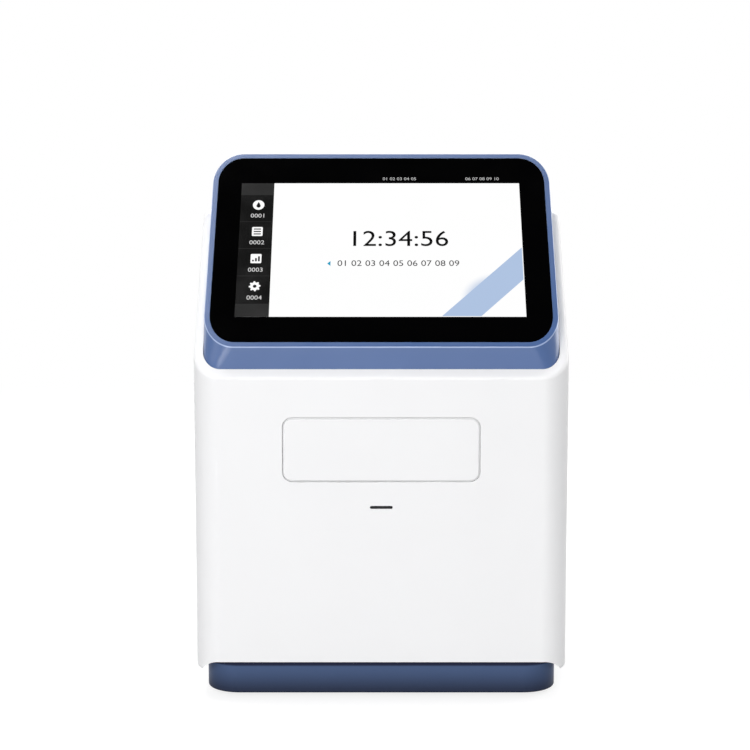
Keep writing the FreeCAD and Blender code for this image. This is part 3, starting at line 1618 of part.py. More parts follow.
NODES = {
    "outer_sleeve": make_outer_sleeve,
    "base_tub": make_base_tub,
    "rubber_feet": make_rubber_feet,
    "display_head": make_display_head,
    "cover_glass": make_cover_glass,
    "lcd_panel": make_lcd_panel,
    "display_bracket": make_display_bracket,
    "display_screws": make_display_screws,
    "display_board": make_display_board,
    "deck_posts": make_deck_posts,
    "chassis_deck": make_chassis_deck,
    "drawer_front": make_drawer_front,
    "drawer_tray": make_drawer_tray,
    "inner_rail_left": lambda: make_inner_rail(-1),
    "inner_rail_right": lambda: make_inner_rail(1),
    "outer_rail_left": lambda: make_outer_rail(-1),
    "outer_rail_right": lambda: make_outer_rail(1),
    "rail_bracket_left": lambda: make_rail_bracket(-1),
    "rail_bracket_right": lambda: make_rail_bracket(1),
    "drawer_rack": make_drawer_rack,
    "drive_pinion": make_drive_pinion,
    "drive_motor": make_drive_motor,
    "drive_bracket": make_drive_bracket,
    "turntable": make_turntable,
    "turntable_spindle": make_turntable_spindle,
    "turntable_motor": make_turntable_motor,
    "optics_bridge": make_optics_bridge,
    "heater_plate": make_heater_plate,
    "optical_head": make_optical_head,
    "optical_lens": make_optical_lens,
    "lamp_housing": make_lamp_housing,
    "code_reader": make_code_reader,
    "rear_panel": make_rear_panel,
    "panel_screws": make_panel_screws,
    "fan_frame": make_fan_frame,
    "fan_rotor": make_fan_rotor,
    "power_inlet": make_power_inlet,
    "switch_body": make_switch_body,
    "switch_rocker": make_switch_rocker,
    "lan_socket": make_lan_socket,
    "usb_sockets": make_usb_sockets,
    "board_standoffs": make_board_standoffs,
    "main_board": make_main_board,
    "board_heatsink": make_board_heatsink,
    "power_supply": make_power_supply,
    "speaker": make_speaker,
    "light_lens": make_light_lens,
    "light_board": make_light_board,
}

os.makedirs("parts", exist_ok=True)
for node_name, make_node in NODES.items():
    node_shape = make_node()
    node_shape.exportStep(f"parts/{node_name}.step")
    print(node_name, node_shape.isValid(), len(node_shape.Solids), round(node_shape.Volume))
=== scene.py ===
"""Studio model of a benchtop dry chemistry analyzer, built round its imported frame.

Every solid of the frame gets its finish, and the script adds what the frame leaves out: the lit
picture on the touch screen, the marks on the power switch and the studio round the instrument.
Lengths are in metres in the frame's own axes: X to the right, Y to the rear and Z up.
"""

import json
import logging
import math
from dataclasses import dataclass, replace
from enum import Enum

import bmesh
import bpy
from mathutils import Matrix, Vector
from mathutils.bvhtree import BVHTree


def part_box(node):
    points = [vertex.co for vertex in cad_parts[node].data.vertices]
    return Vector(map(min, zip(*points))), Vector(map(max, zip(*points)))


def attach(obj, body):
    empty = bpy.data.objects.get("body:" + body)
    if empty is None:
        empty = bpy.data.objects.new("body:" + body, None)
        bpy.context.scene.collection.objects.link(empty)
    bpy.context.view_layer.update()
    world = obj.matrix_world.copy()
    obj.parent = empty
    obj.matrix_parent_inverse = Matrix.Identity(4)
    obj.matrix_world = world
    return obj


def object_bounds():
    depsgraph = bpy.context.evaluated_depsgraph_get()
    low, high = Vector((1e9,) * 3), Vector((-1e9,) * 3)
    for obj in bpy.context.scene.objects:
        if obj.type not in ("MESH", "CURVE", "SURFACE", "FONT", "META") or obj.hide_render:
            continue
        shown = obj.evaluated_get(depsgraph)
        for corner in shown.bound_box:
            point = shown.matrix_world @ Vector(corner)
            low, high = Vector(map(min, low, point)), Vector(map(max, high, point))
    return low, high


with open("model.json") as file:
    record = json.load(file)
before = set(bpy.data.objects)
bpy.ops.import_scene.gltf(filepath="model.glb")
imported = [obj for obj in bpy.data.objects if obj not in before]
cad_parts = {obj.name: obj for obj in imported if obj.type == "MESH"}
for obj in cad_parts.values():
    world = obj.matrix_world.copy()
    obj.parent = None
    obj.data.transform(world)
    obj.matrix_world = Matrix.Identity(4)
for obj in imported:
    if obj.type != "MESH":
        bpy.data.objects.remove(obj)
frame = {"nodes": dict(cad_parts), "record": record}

MM = 0.001
CAD_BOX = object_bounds()

log = logging.getLogger("analyzer")

Colour = tuple[float, float, float]
Place = tuple[float, float, float]
Point = tuple[float, float]
Socket = bpy.types.NodeSocket

WHITE: Colour = (1.0, 1.0, 1.0)
BLACK: Colour = (0.0, 0.0, 0.0)
ORIGIN: Place = (0.0, 0.0, 0.0)
REARWARD: Place = (0.0, 1.0, 0.0)
UPWARD: Place = (0.0, 0.0, 1.0)

# Most of a noise's values lie between these
NOISE_LOW = 0.3
NOISE_HIGH = 0.7

# How far the noise of a brushed metal is drawn out into lines
LINE_STRETCH = 0.04


class Body(Enum):
    """The bodies that the added pieces ride on."""

    HOUSING = "housing"
    ROCKER = "power_rocker"


class Grain(Enum):
    """The surface texture that a mould or spray leaves."""

    SPARK = "spark eroded mould"
    PEEL = "sprayed paint"
    PEBBLE = "pebbled mould"


class Brush(Enum):
    """The direction of the fine lines in a metal's surface, as the scale of its noise."""

    ALONG_X = (LINE_STRETCH, 1.0, 1.0)
    ALONG_Y = (1.0, LINE_STRETCH, 1.0)
    ALONG_Z = (1.0, 1.0, LINE_STRETCH)
    NONE = (1.0, 1.0, 1.0)


class Ease(Enum):
    """How a ramp runs between its ends."""

    STRAIGHT = "LINEAR"
    SMOOTH = "SMOOTHSTEP"


class Join(Enum):
    """How two values make one."""

    PRODUCT = "MULTIPLY"
    GREATER = "MAXIMUM"


class Layer(Enum):
    """The layers of the lit picture, counted from the cover glass."""

    ON_GLASS = 0
    ON_FIELD = 1
    ON_MENU = 2
    ON_BANDS = 3
    ON_ICONS = 4


def linear(colour: Colour) -> tuple[float, float, float, float]:
    """Turn a linear colour into the four numbers that a socket takes."""
    return (*colour, 1.0)


def scaled(colour: Colour, factor: float) -> Colour:
    """Darken or lighten a colour by a factor."""
    red, green, blue = (min(channel * factor, 1.0) for channel in colour)
    return (red, green, blue)


@dataclass(frozen=True)
class Zone:
    """A stretch of a surface with another colour, between edges along a direction.

    Each edge is the place where the colour starts and the place where it is full, in metres along
    the direction.
    """

    colour: Colour
    direction: Place
    edges: tuple[Point, ...]


class NodeGraph:
    """A node tree, with short ways to add and join its nodes.

    Args:
        tree: The tree, which is emptied first.
        output: The type of its output node.
    """

    def __init__(self, tree: bpy.types.NodeTree, output: str) -> None:
        self.nodes = tree.nodes
        self.links = tree.links
        self.nodes.clear()
        self.output = self.nodes.new(output)
        self.coordinates = self.nodes.new("ShaderNodeTexCoord")

    def ramp(self, value: Socket, start: float, end: float, low: float = 0.0, high: float = 1.0,
             ease: Ease = Ease.STRAIGHT) -> Socket:
        """Turn a stretch of a value into another, and hold the result beyond its ends.

        Args:
            value: The socket that drives the ramp.
            start: Where the ramp starts.
            end: Where it ends.
            low: The result at the start.
            high: The result at the end.
            ease: How it runs between them.

        Returns:
            The socket with the result.
        """
        node = self.nodes.new("ShaderNodeMapRange")
        node.interpolation_type = ease.value
        node.inputs["From Min"].default_value = start
        node.inputs["From Max"].default_value = end
        node.inputs["To Min"].default_value = low
        node.inputs["To Max"].default_value = high
        self.links.new(value, node.inputs["Value"])
        return node.outputs["Result"]

    def combine(self, join: Join, first: Socket, second: Socket) -> Socket:
        """Make one value from two.

        Args:
            join: How they are joined.
            first: One value.
            second: The other value.

        Returns:
            The socket with the result.
        """
        node = self.nodes.new("ShaderNodeMath")
        node.operation = join.value
        self.links.new(first, node.inputs[0])
        self.links.new(second, node.inputs[1])
        return node.outputs["Value"]

    def seen_directly(self) -> Socket:
        """Add a value that is 1 for a ray from the camera, a gloss or a clear piece."""
        path = self.nodes.new("ShaderNodeLightPath")
        value = path.outputs["Is Camera Ray"]
        for name in ("Is Glossy Ray", "Is Transmission Ray"):
            value = self.combine(Join.GREATER, value, path.outputs[name])
        return value


class ShaderGraph(NodeGraph):
    """A material's node tree, over the object's own coordinates.

    Args:
        name: The material's name.
    """

    def __init__(self, name: str) -> None:
        self.material = bpy.data.materials.new(name)
        self.material.use_nodes = True
        super().__init__(self.material.node_tree, "ShaderNodeOutputMaterial")
        self.place = self.coordinates.outputs["Object"]

    def noise(self, size: float, detail: float, stretch: Brush = Brush.NONE) -> Socket:
        """Add a noise.

        Args:
            size: The size of the noise's blotches, in metres.
            detail: How many finer layers the noise has.
            stretch: The direction in which the noise is drawn out into lines.

        Returns:
            The socket with the noise's value.
        """
        mapping = self.nodes.new("ShaderNodeMapping")
        mapping.inputs["Scale"].default_value = stretch.value
        node = self.nodes.new("ShaderNodeTexNoise")
        node.inputs["Scale"].default_value = 1 / size
        node.inputs["Detail"].default_value = detail
        self.links.new(self.place, mapping.inputs["Vector"])
        self.links.new(mapping.outputs["Vector"], node.inputs["Vector"])
        return node.outputs["Fac"]

    def cells(self, size: float) -> Socket:
        """Add a pattern of rounded cells of a size and return its distance socket."""
        node = self.nodes.new("ShaderNodeTexVoronoi")
        node.feature = "SMOOTH_F1"
        node.inputs["Scale"].default_value = 1 / size
        self.links.new(self.place, node.inputs["Vector"])
        return node.outputs["Distance"]

    def spread(self, value: Socket, low: float = 0.0, high: float = 1.0) -> Socket:
        """Spread a noise's middle values over a range.

        Args:
            value: The noise's socket.
            low: What the noise's low values become.
            high: What its high values become.

        Returns:
            The socket with the spread value.
        """
        return self.ramp(value, NOISE_LOW, NOISE_HIGH, low, high)

    def distance_from(self, place: Place) -> Socket:
        """Add the distance from a place."""
        node = self.nodes.new("ShaderNodeVectorMath")
        node.operation = "DISTANCE"
        node.inputs[1].default_value = place
        self.links.new(self.place, node.inputs[0])
        return node.outputs["Value"]

    def within(self, zone: Zone) -> Socket:
        """Add a value that is 1 inside a zone and 0 outside it."""
        along = self.nodes.new("ShaderNodeVectorMath")
        along.operation = "DOT_PRODUCT"
        along.inputs[1].default_value = zone.direction
        self.links.new(self.place, along.inputs[0])
        total = None
        for outside, inside in zone.edges:
            edge = self.ramp(along.outputs["Value"], outside, inside, ease=Ease.SMOOTH)
            total = edge if total is None else self.combine(Join.PRODUCT, total, edge)
        return total

    def tint(self, value: Socket, low: Colour | Socket, high: Colour) -> Socket:
        """Mix two colours by a value.

        Args:
            value: The socket that drives the mix.
            low: The colour at 0, or the socket that gives it.
            high: The colour at 1.

        Returns:
            The socket with the colour.
        """
        node = self.nodes.new("ShaderNodeMix")
        node.data_type = "RGBA"
        node.inputs["B"].default_value = linear(high)
        if isinstance(low, Socket):
            self.links.new(low, node.inputs["A"])
        else:
            node.inputs["A"].default_value = linear(low)
        self.links.new(value, node.inputs["Factor"])
        return node.outputs["Result"]

    def bump(self, height: Socket, depth: float, under: Socket | None = None) -> Socket:
        """Turn a height into a bumped normal.

        Args:
            height: The socket with the height.
            depth: The height's full depth in metres.
            under: The bumped normal that this one adds to.

        Returns:
            The socket with the normal.
        """
        node = self.nodes.new("ShaderNodeBump")
        node.inputs["Distance"].default_value = depth
        self.links.new(height, node.inputs["Height"])
        if under is not None:
            self.links.new(under, node.inputs["Normal"])
        return node.outputs["Normal"]

    def surface(self, values: dict[str, float | tuple], links: dict[str, Socket]
                ) -> bpy.types.Material:
        """Close the graph with a Principled surface.

        Args:
            values: Constants by socket name.
            links: Driving sockets by socket name.

        Returns:
            The finished material.
        """
        shader = self.nodes.new("ShaderNodeBsdfPrincipled")
        for name, value in values.items():
            shader.inputs[name].default_value = value
        for name, socket in links.items():
            self.links.new(socket, shader.inputs[name])
        self.links.new(shader.outputs["BSDF"], self.output.inputs["Surface"])
        return self.material


@dataclass(frozen=True)
class MouldedFinish:
    """A plastic, rubber or painted surface with a fine grain and a slight mottle."""

    name: str
    colour: Colour
    roughness: float
    grain: Grain = Grain.SPARK
    grain_size: float = 0.45 * MM
    grain_depth: float = 0.012 * MM
    mottle: float = 0.03
    mottle_size: float = 45 * MM
    gloss_spread: float = 0.06
    gloss_size: float = 18 * MM
    wave_size: float = 9 * MM
    wave_depth: float = 0.01 * MM
    specular: float = 0.5
    coat: float = 0.0
    coat_roughness: float = 0.2
    zones: tuple[Zone, ...] = ()

    def grain_height(self, graph: ShaderGraph) -> Socket:
        """Add the height of the grain to a graph."""
        if self.grain is Grain.PEBBLE:
            return graph.cells(self.grain_size)
        if self.grain is Grain.PEEL:
            return graph.noise(self.grain_size, detail=1.0)
        return graph.noise(self.grain_size, detail=3.0)

    def build(self) -> bpy.types.Material:
        """Build the material with its mottle, uneven gloss and grain."""
        graph = ShaderGraph(self.name)
        patches = graph.spread(graph.noise(self.mottle_size, detail=3.0))
        colour = graph.tint(patches, scaled(self.colour, 1 - self.mottle), self.colour)
        for zone in self.zones:
            colour = graph.tint(graph.within(zone), colour, zone.colour)
        roughness = graph.spread(
            graph.noise(self.gloss_size, detail=4.0),
            self.roughness - self.gloss_spread, self.roughness + self.gloss_spread)
        wave = graph.bump(graph.noise(self.wave_size, detail=1.0), self.wave_depth)
        normal = graph.bump(self.grain_height(graph), self.grain_depth, wave)
        return graph.surface(
            {"Specular IOR Level": self.specular, "Coat Weight": self.coat,
             "Coat Roughness": self.coat_roughness},
            {"Base Color": colour, "Roughness": roughness, "Normal": normal})


@dataclass(frozen=True)
class MetalFinish:
    """A bare or plated metal with fine lines and faint blotches."""

    name: str
    colour: Colour
    roughness: float
    brush: Brush = Brush.NONE
    line_size: float = 0.4 * MM
    line_depth: float = 0.006 * MM
    line_spread: float = 0.3
    blotch: float = 0.12
    blotch_size: float = 12 * MM

    def build(self) -> bpy.types.Material:
        """Build the material with its lines and blotches."""
        graph = ShaderGraph(self.name)
        blotches = graph.spread(graph.noise(self.blotch_size, detail=3.0))
        colour = graph.tint(blotches, scaled(self.colour, 1 - self.blotch), self.colour)
        lines = graph.noise(self.line_size, detail=2.0, stretch=self.brush)
        roughness = graph.spread(
            lines, self.roughness * (1 - self.line_spread), self.roughness * (1 + self.line_spread))
        return graph.surface(
            {"Metallic": 1.0},
            {"Base Color": colour, "Roughness": roughness,
             "Normal": graph.bump(lines, self.line_depth)})


@dataclass(frozen=True)
class GlossFinish:
    """A dark polished surface, such as cover glass, with faint smears."""

    name: str
    colour: Colour
    roughness: float
    specular: float
    smear_size: float = 28 * MM
    smear_roughness_factor: float = 2.5
    smear_colour_factor: float = 1.4
    wave_size: float = 60 * MM
    wave_depth: float = 0.004 * MM

    def build(self) -> bpy.types.Material:
        """Build the material with its smears and slight waviness."""
        graph = ShaderGraph(self.name)
        smears = graph.noise(self.smear_size, detail=5.0)
        roughness = graph.spread(
            smears, self.roughness, self.roughness * self.smear_roughness_factor)
        colour = graph.tint(
            graph.spread(smears), self.colour, scaled(self.colour, self.smear_colour_factor))
        normal = graph.bump(graph.noise(self.wave_size, detail=0.0), self.wave_depth)
        return graph.surface(
            {"Specular IOR Level": self.specular},
            {"Base Color": colour, "Roughness": roughness, "Normal": normal})


@dataclass(frozen=True)
class ClearFinish:
    """Clear coated glass, as of a lens."""

    name: str
    colour: Colour
    roughness: float
    dust_size: float = 1.5 * MM
    dust_roughness_factor: float = 3.0

    def build(self) -> bpy.types.Material:
        """Build the material with faint dust in its gloss."""
        graph = ShaderGraph(self.name)
        roughness = graph.spread(
            graph.noise(self.dust_size, detail=4.0),
            self.roughness, self.roughness * self.dust_roughness_factor)
        return graph.surface(
            {"Base Color": linear(self.colour), "Transmission Weight": 1.0},
            {"Roughness": roughness})


@dataclass(frozen=True)
class BoardFinish:
    """A circuit board's solder mask over copper tracks.

    The sizes that end in share are shares of the tracks' pitch.
    """

    name: str
    mask: Colour
    track: Colour
    mask_shade: float = 0.85
    track_pitch: float = 1.6 * MM
    track_width_share: float = 0.06
    track_length_share: float = 5.0
    track_row_share: float = 0.5
    track_relief: float = 0.02 * MM
    gloss_size: float = 20 * MM
    low_roughness: float = 0.22
    high_roughness: float = 0.36

    def build(self) -> bpy.types.Material:
        """Build the material with its tracks showing through the mask."""
        graph = ShaderGraph(self.name)
        bricks = graph.nodes.new("ShaderNodeTexBrick")
        bricks.inputs["Scale"].default_value = 1 / self.track_pitch
        bricks.inputs["Mortar Size"].default_value = self.track_width_share
        bricks.inputs["Brick Width"].default_value = self.track_length_share
        bricks.inputs["Row Height"].default_value = self.track_row_share
        bricks.inputs["Color1"].default_value = linear(self.mask)
        bricks.inputs["Color2"].default_value = linear(scaled(self.mask, self.mask_shade))
        bricks.inputs["Mortar"].default_value = linear(self.track)
        graph.links.new(graph.place, bricks.inputs["Vector"])
        roughness = graph.spread(
            graph.noise(self.gloss_size, detail=3.0), self.low_roughness, self.high_roughness)
        normal = graph.bump(bricks.outputs["Fac"], self.track_relief)
        return graph.surface(
            {}, {"Base Color": bricks.outputs["Color"], "Roughness": roughness, "Normal": normal})


@dataclass(frozen=True)
class LitFinish:
    """A lit area of the display, with its faint raster of picture elements.

    Where it has a haze, the haze's colour is full up to the core and gone at the radius.
    """

    name: str
    colour: Colour
    strength: float = 1.0
    specular: float = 0.3
    raster: float = 0.16 * MM
    raster_shade: float = 0.99
    smear_size: float = 30 * MM
    low_roughness: float = 0.08
    high_roughness: float = 0.2
    haze_colour: Colour = WHITE
    haze_place: Place = ORIGIN
    haze_core: float = 0.0
    haze_radius: float = 0.0

    def build(self) -> bpy.types.Material:
        """Build the material that glows in its own colour under a thin gloss."""
        graph = ShaderGraph(self.name)
        lines = graph.nodes.new("ShaderNodeTexWave")
        lines.bands_direction = "X"
        lines.inputs["Scale"].default_value = 1 / self.raster
        graph.links.new(graph.place, lines.inputs["Vector"])
        glow = graph.tint(lines.outputs["Fac"], scaled(self.colour, self.raster_shade), self.colour)
        if self.haze_radius:
            distance = graph.distance_from(self.haze_place)
            haze = graph.ramp(distance, self.haze_radius, self.haze_core, ease=Ease.SMOOTH)
            glow = graph.tint(haze, glow, self.haze_colour)
        roughness = graph.spread(
            graph.noise(self.smear_size, detail=4.0), self.low_roughness, self.high_roughness)
        return graph.surface(
            {"Base Color": linear(BLACK), "Specular IOR Level": self.specular,
             "Emission Strength": self.strength},
            {"Emission Color": glow, "Roughness": roughness})


SLOT_FINISHES = {
    "white_shell": MouldedFinish("white_shell_satin", (0.87, 0.87, 0.88), 0.42, mottle=0.012),
    "blue_shell": MouldedFinish("blue_shell_satin", (0.038, 0.098, 0.272), 0.36, Grain.PEEL,
                                coat=0.6, coat_roughness=0.24),
    "rubber": MouldedFinish("black_rubber", (0.025, 0.025, 0.027), 0.85, Grain.PEBBLE,
                            grain_size=0.8 * MM, grain_depth=0.05 * MM, mottle=0.2),
    "cover_glass": GlossFinish("black_cover_glass", (0.0004, 0.0004, 0.0005), 0.03, 0.3),
    "lcd": GlossFinish("display_module_black", (0.01, 0.01, 0.012), 0.2, 0.4),
    "sheet_steel": MetalFinish("zinc_plated_sheet", (0.62, 0.63, 0.64), 0.3, Brush.ALONG_Y),
    "screw_steel": MetalFinish("nickel_plated_screw", (0.6, 0.6, 0.6), 0.22),
    "circuit_board": BoardFinish("green_circuit_board", (0.012, 0.11, 0.045), (0.05, 0.22, 0.08)),
    "post_aluminium": MetalFinish("machined_aluminium", (0.78, 0.79, 0.8), 0.28, Brush.ALONG_X),
    "grey_plastic": MouldedFinish("grey_tray_plastic", (0.22, 0.23, 0.25), 0.5, mottle=0.05),
    "black_plastic": MouldedFinish("black_moulded_plastic", (0.02, 0.02, 0.022), 0.5,
                                   mottle=0.15, grain_depth=0.02 * MM),
    "gear_plastic": MouldedFinish("natural_acetal", (0.78, 0.76, 0.7), 0.35, mottle=0.04),
    "motor_steel": MetalFinish("plated_motor_can", (0.5, 0.51, 0.52), 0.26, Brush.ALONG_Z),
    "socket_metal": MetalFinish("bright_socket_shell", (0.75, 0.75, 0.76), 0.16),
    "lens_glass": ClearFinish("coated_lens", (0.9, 0.94, 1.0), 0.02),
    "rocker_plastic": MouldedFinish("gloss_rocker", (0.012, 0.012, 0.013), 0.2, mottle=0.1,
                                    grain_depth=0.004 * MM),
    "light_lens": GlossFinish("smoked_light_window", (0.004, 0.004, 0.005), 0.1, 0.3),
    "panel_paint": MouldedFinish("textured_panel_paint", (0.66, 0.67, 0.68), 0.55, Grain.PEBBLE,
                                 grain_size=0.7 * MM, grain_depth=0.04 * MM),
}

SCREEN_SLOPE = math.radians(43)
GLASS_THICKNESS = 1.8 * MM
GLASS_EDGE_ROUND = 0.3 * MM


def screen_place() -> Matrix:
    """Return the matrix from the cover glass's own axes to the frame's, from the glass's box."""
    low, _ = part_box("cover_glass")
    origin = Vector((0.0, low.y, low.z + GLASS_THICKNESS * math.cos(SCREEN_SLOPE)))
    return Matrix.Translation(origin) @ Matrix.Rotation(SCREEN_SLOPE, 4, "X")


def painted_lip_highlight() -> Zone:
    """Return the lighter line painted on the round edge of the screen's housing as a highlight."""
    glass_sink = 0.1 * MM
    upper_start = 0.01 * MM
    upper_full = 0.07 * MM
    lower_full = 0.45 * MM
    lower_start = 0.6 * MM
    place = screen_place()
    normal = place.to_3x3() @ Vector(UPWARD)
    face = place.translation.dot(normal) + glass_sink
    edges = ((face - lower_start, face - lower_full), (face - upper_start, face - upper_full))
    # Lighter blue painted in as the highlight that the round edge catches
    return Zone((0.3, 0.39, 0.62), tuple(normal), edges)


def painted_drawer_joint_shade() -> Zone:
    """Return the greyer step round the drawer's front, which lies in the joint: painted shade."""
    step_start = 0.5 * MM
    step_full = 0.9 * MM
    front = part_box("drawer_front")[0].y
    # Grey painted in as the shade inside the drawer's gap
    return Zone((0.7, 0.7, 0.71), REARWARD, ((front + step_start, front + step_full),))


def painted_base_foot_shade() -> Zone:
    """Return the painted shade that darkens the base towards the bench."""
    shade_start = 20 * MM
    # Dark blue painted in as shade, full at the bench and gone at the shade's start
    return Zone((0.018, 0.022, 0.042), UPWARD, ((shade_start, 0.0),))


def painted_shadow_under_sleeve() -> Zone:
    """Return the painted shadow: a thin dark line round the base's top, right under the sleeve."""
    line_start = 18.9 * MM
    line_full = 20.3 * MM
    # Dark blue painted in as the sleeve's shadow on the base
    return Zone((0.018, 0.022, 0.05), UPWARD, ((line_start, line_full),))


def own_finishes() -> dict[str, MouldedFinish]:
    """Return the finishes that differ from the rest of their slot, with painted shade and
    highlight.
    """
    return {
        "base_tub": MouldedFinish("blue_base_satin_painted_shade", (0.068, 0.106, 0.21), 0.4, Grain.PEEL,
                                  specular=0.06, zones=(painted_base_foot_shade(), painted_shadow_under_sleeve())),
        "display_head": replace(
            SLOT_FINISHES["blue_shell"], name="blue_head_satin_painted_highlight", zones=(painted_lip_highlight(),)),
        "drawer_front": replace(
            SLOT_FINISHES["white_shell"], name="white_drawer_satin_painted_shade", zones=(painted_drawer_joint_shade(),)),
    }


class Shading:
    """How a solid's faces are shaded: smooth over curves, crisp at edges, level on flats."""

    merge_distance = 0.001 * MM
    crease_angle = math.radians(35)
    bevel_angle = math.radians(50)
    bevel_segments = 3

    @classmethod
    def apply(cls, piece: bpy.types.Object, edge_round: float = 0.0) -> None:
        """Add the modifiers that shade a piece.

        Args:
            piece: The object to shade.
            edge_round: The radius that breaks its sharp edges, or 0 for none.
        """
        piece.data.shade_smooth()
        weld = piece.modifiers.new("joined_corners", "WELD")
        weld.merge_threshold = cls.merge_distance
        if edge_round:
            bevel = piece.modifiers.new("broken_edges", "BEVEL")
            bevel.width = edge_round
            bevel.segments = cls.bevel_segments
            bevel.limit_method = "ANGLE"
            bevel.angle_limit = cls.bevel_angle
        split = piece.modifiers.new("crisp_edges", "EDGE_SPLIT")
        split.split_angle = cls.crease_angle
        level = piece.modifiers.new("level_flats", "WEIGHTED_NORMAL")
        level.mode = "FACE_AREA"


@dataclass
class FrameDresser:
    """Gives every solid of the frame its own finish or that of its material slot."""

    edge_rounds: dict[str, float]

    def dress(self, subparts: list[dict[str, str]]) -> None:
        """Dress each solid.

        Args:
            subparts: The record's list of nodes with their material slots.
        """
        own = own_finishes()
        materials: dict[str, bpy.types.Material] = {}
        for subpart in subparts:
            name = subpart["node"]
            finish = own.get(name, SLOT_FINISHES[subpart["material_slot"]])
            if finish.name not in materials:
                materials[finish.name] = finish.build()
            node = frame["nodes"][name]
            node.data.materials.clear()
            node.data.materials.append(materials[finish.name])
            Shading.apply(node, self.edge_rounds.get(name, 0.0))
            log.info("dressed %s in %s", name, finish.name)


class Plate:
    """A thin flat shape that is drawn in a plane's own axes and stands out of it.

    Args:
        name: The piece's name.
        place: The matrix from the plane's axes to the frame's.
    """

    unit_half = 0.5
    corner_segments = 5
    disc_segments = 40
    round_profile = 0.5
    type_resolution = 4
    merge_distance = 0.0001 * MM

    def __init__(self, name: str, place: Matrix) -> None:
        self.name = name
        self.place = place
        self.mesh = bmesh.new()

    def rectangle(self, low: Point, high: Point, corner: float = 0.0) -> None:
        """Add a rectangle between two corners.

        Args:
            low: The lower left corner.
            high: The upper right corner.
            corner: The radius of its corners.
        """
        centre = Vector(((low[0] + high[0]) / 2, (low[1] + high[1]) / 2, 0.0))
        size = Matrix.Diagonal((high[0] - low[0], high[1] - low[1], 1.0, 1.0))
        made = bmesh.ops.create_grid(
            self.mesh, x_segments=1, y_segments=1, size=self.unit_half,
            matrix=Matrix.Translation(centre) @ size)
        if corner:
            bmesh.ops.bevel(
                self.mesh, geom=made["verts"], offset=corner, offset_type="OFFSET",
                segments=self.corner_segments, profile=self.round_profile, affect="VERTICES",
                material=-1)

    def disc(self, centre: Point, radius: float, segments: int = disc_segments,
             turn: float = 0.0) -> list[bmesh.types.BMVert]:
        """Add a disc or a regular polygon.

        Args:
            centre: Its middle.
            radius: Its radius.
            segments: How many sides it has.
            turn: The angle that it is turned by.

        Returns:
            The vertices round it.
        """
        move = Matrix.Translation((*centre, 0.0)) @ Matrix.Rotation(turn, 4, "Z")
        made = bmesh.ops.create_circle(
            self.mesh, cap_ends=True, radius=radius, segments=segments, matrix=move)
        return made["verts"]

    def digits(self, text: str, height: float, centre: Point) -> None:
        """Add a row of plain digits.

        Args:
            text: The digits.
            height: The size of the type.
            centre: The middle of the row.
        """
        curve = bpy.data.curves.new(f"{self.name}_type", "FONT")
        curve.body = text
        curve.size = height
        curve.align_x = "CENTER"
        curve.align_y = "CENTER"
        curve.resolution_u = self.type_resolution
        holder = bpy.data.objects.new(f"{self.name}_type", curve)
        flat = bpy.data.meshes.new_from_object(holder)
        flat.transform(Matrix.Translation((*centre, 0.0)))
        self.mesh.from_mesh(flat)
        bpy.data.objects.remove(holder)
        bpy.data.curves.remove(curve)
        bpy.data.meshes.remove(flat)

    def cut(self, point: Point, direction: Point) -> None:
        """Cut away what lies to the left of a line.

        Args:
            point: A point on the line.
            direction: The line's direction.
        """
        everything = self.mesh.verts[:] + self.mesh.edges[:] + self.mesh.faces[:]
        bmesh.ops.bisect_plane(
            self.mesh, geom=everything, plane_co=(*point, 0.0),
            plane_no=(-direction[1], direction[0], 0.0), clear_outer=True)

    def finish(self, low: float, high: float, material: bpy.types.Material, body: Body,
               slot: str) -> bpy.types.Object:
        """Give the shapes their thickness and make the piece.

        Args:
            low: How far the back stands out of the plane.
            high: How far the front stands out of it.
            material: The finish.
            body: The body that it rides on.
            slot: The record's material slot that it belongs to; not used.

        Returns:
            The finished piece.
        """
        bmesh.ops.remove_doubles(self.mesh, verts=self.mesh.verts[:], dist=self.merge_distance)
        bmesh.ops.translate(self.mesh, verts=self.mesh.verts[:], vec=(0.0, 0.0, low))
        raised = bmesh.ops.extrude_face_region(self.mesh, geom=self.mesh.faces[:])
        moved = [item for item in raised["geom"] if isinstance(item, bmesh.types.BMVert)]
        bmesh.ops.translate(self.mesh, verts=moved, vec=(0.0, 0.0, high - low))
        bmesh.ops.recalc_face_normals(self.mesh, faces=self.mesh.faces[:])
        bmesh.ops.transform(self.mesh, matrix=self.place, verts=self.mesh.verts[:])
        data = bpy.data.meshes.new(self.name)
        self.mesh.to_mesh(data)
        self.mesh.free()
        data.materials.append(material)
        piece = bpy.data.objects.new(self.name, data)
        bpy.context.scene.collection.objects.link(piece)
        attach(piece, body.value)
        log.info("made %s with %d faces", self.name, len(data.polygons))
        return piece


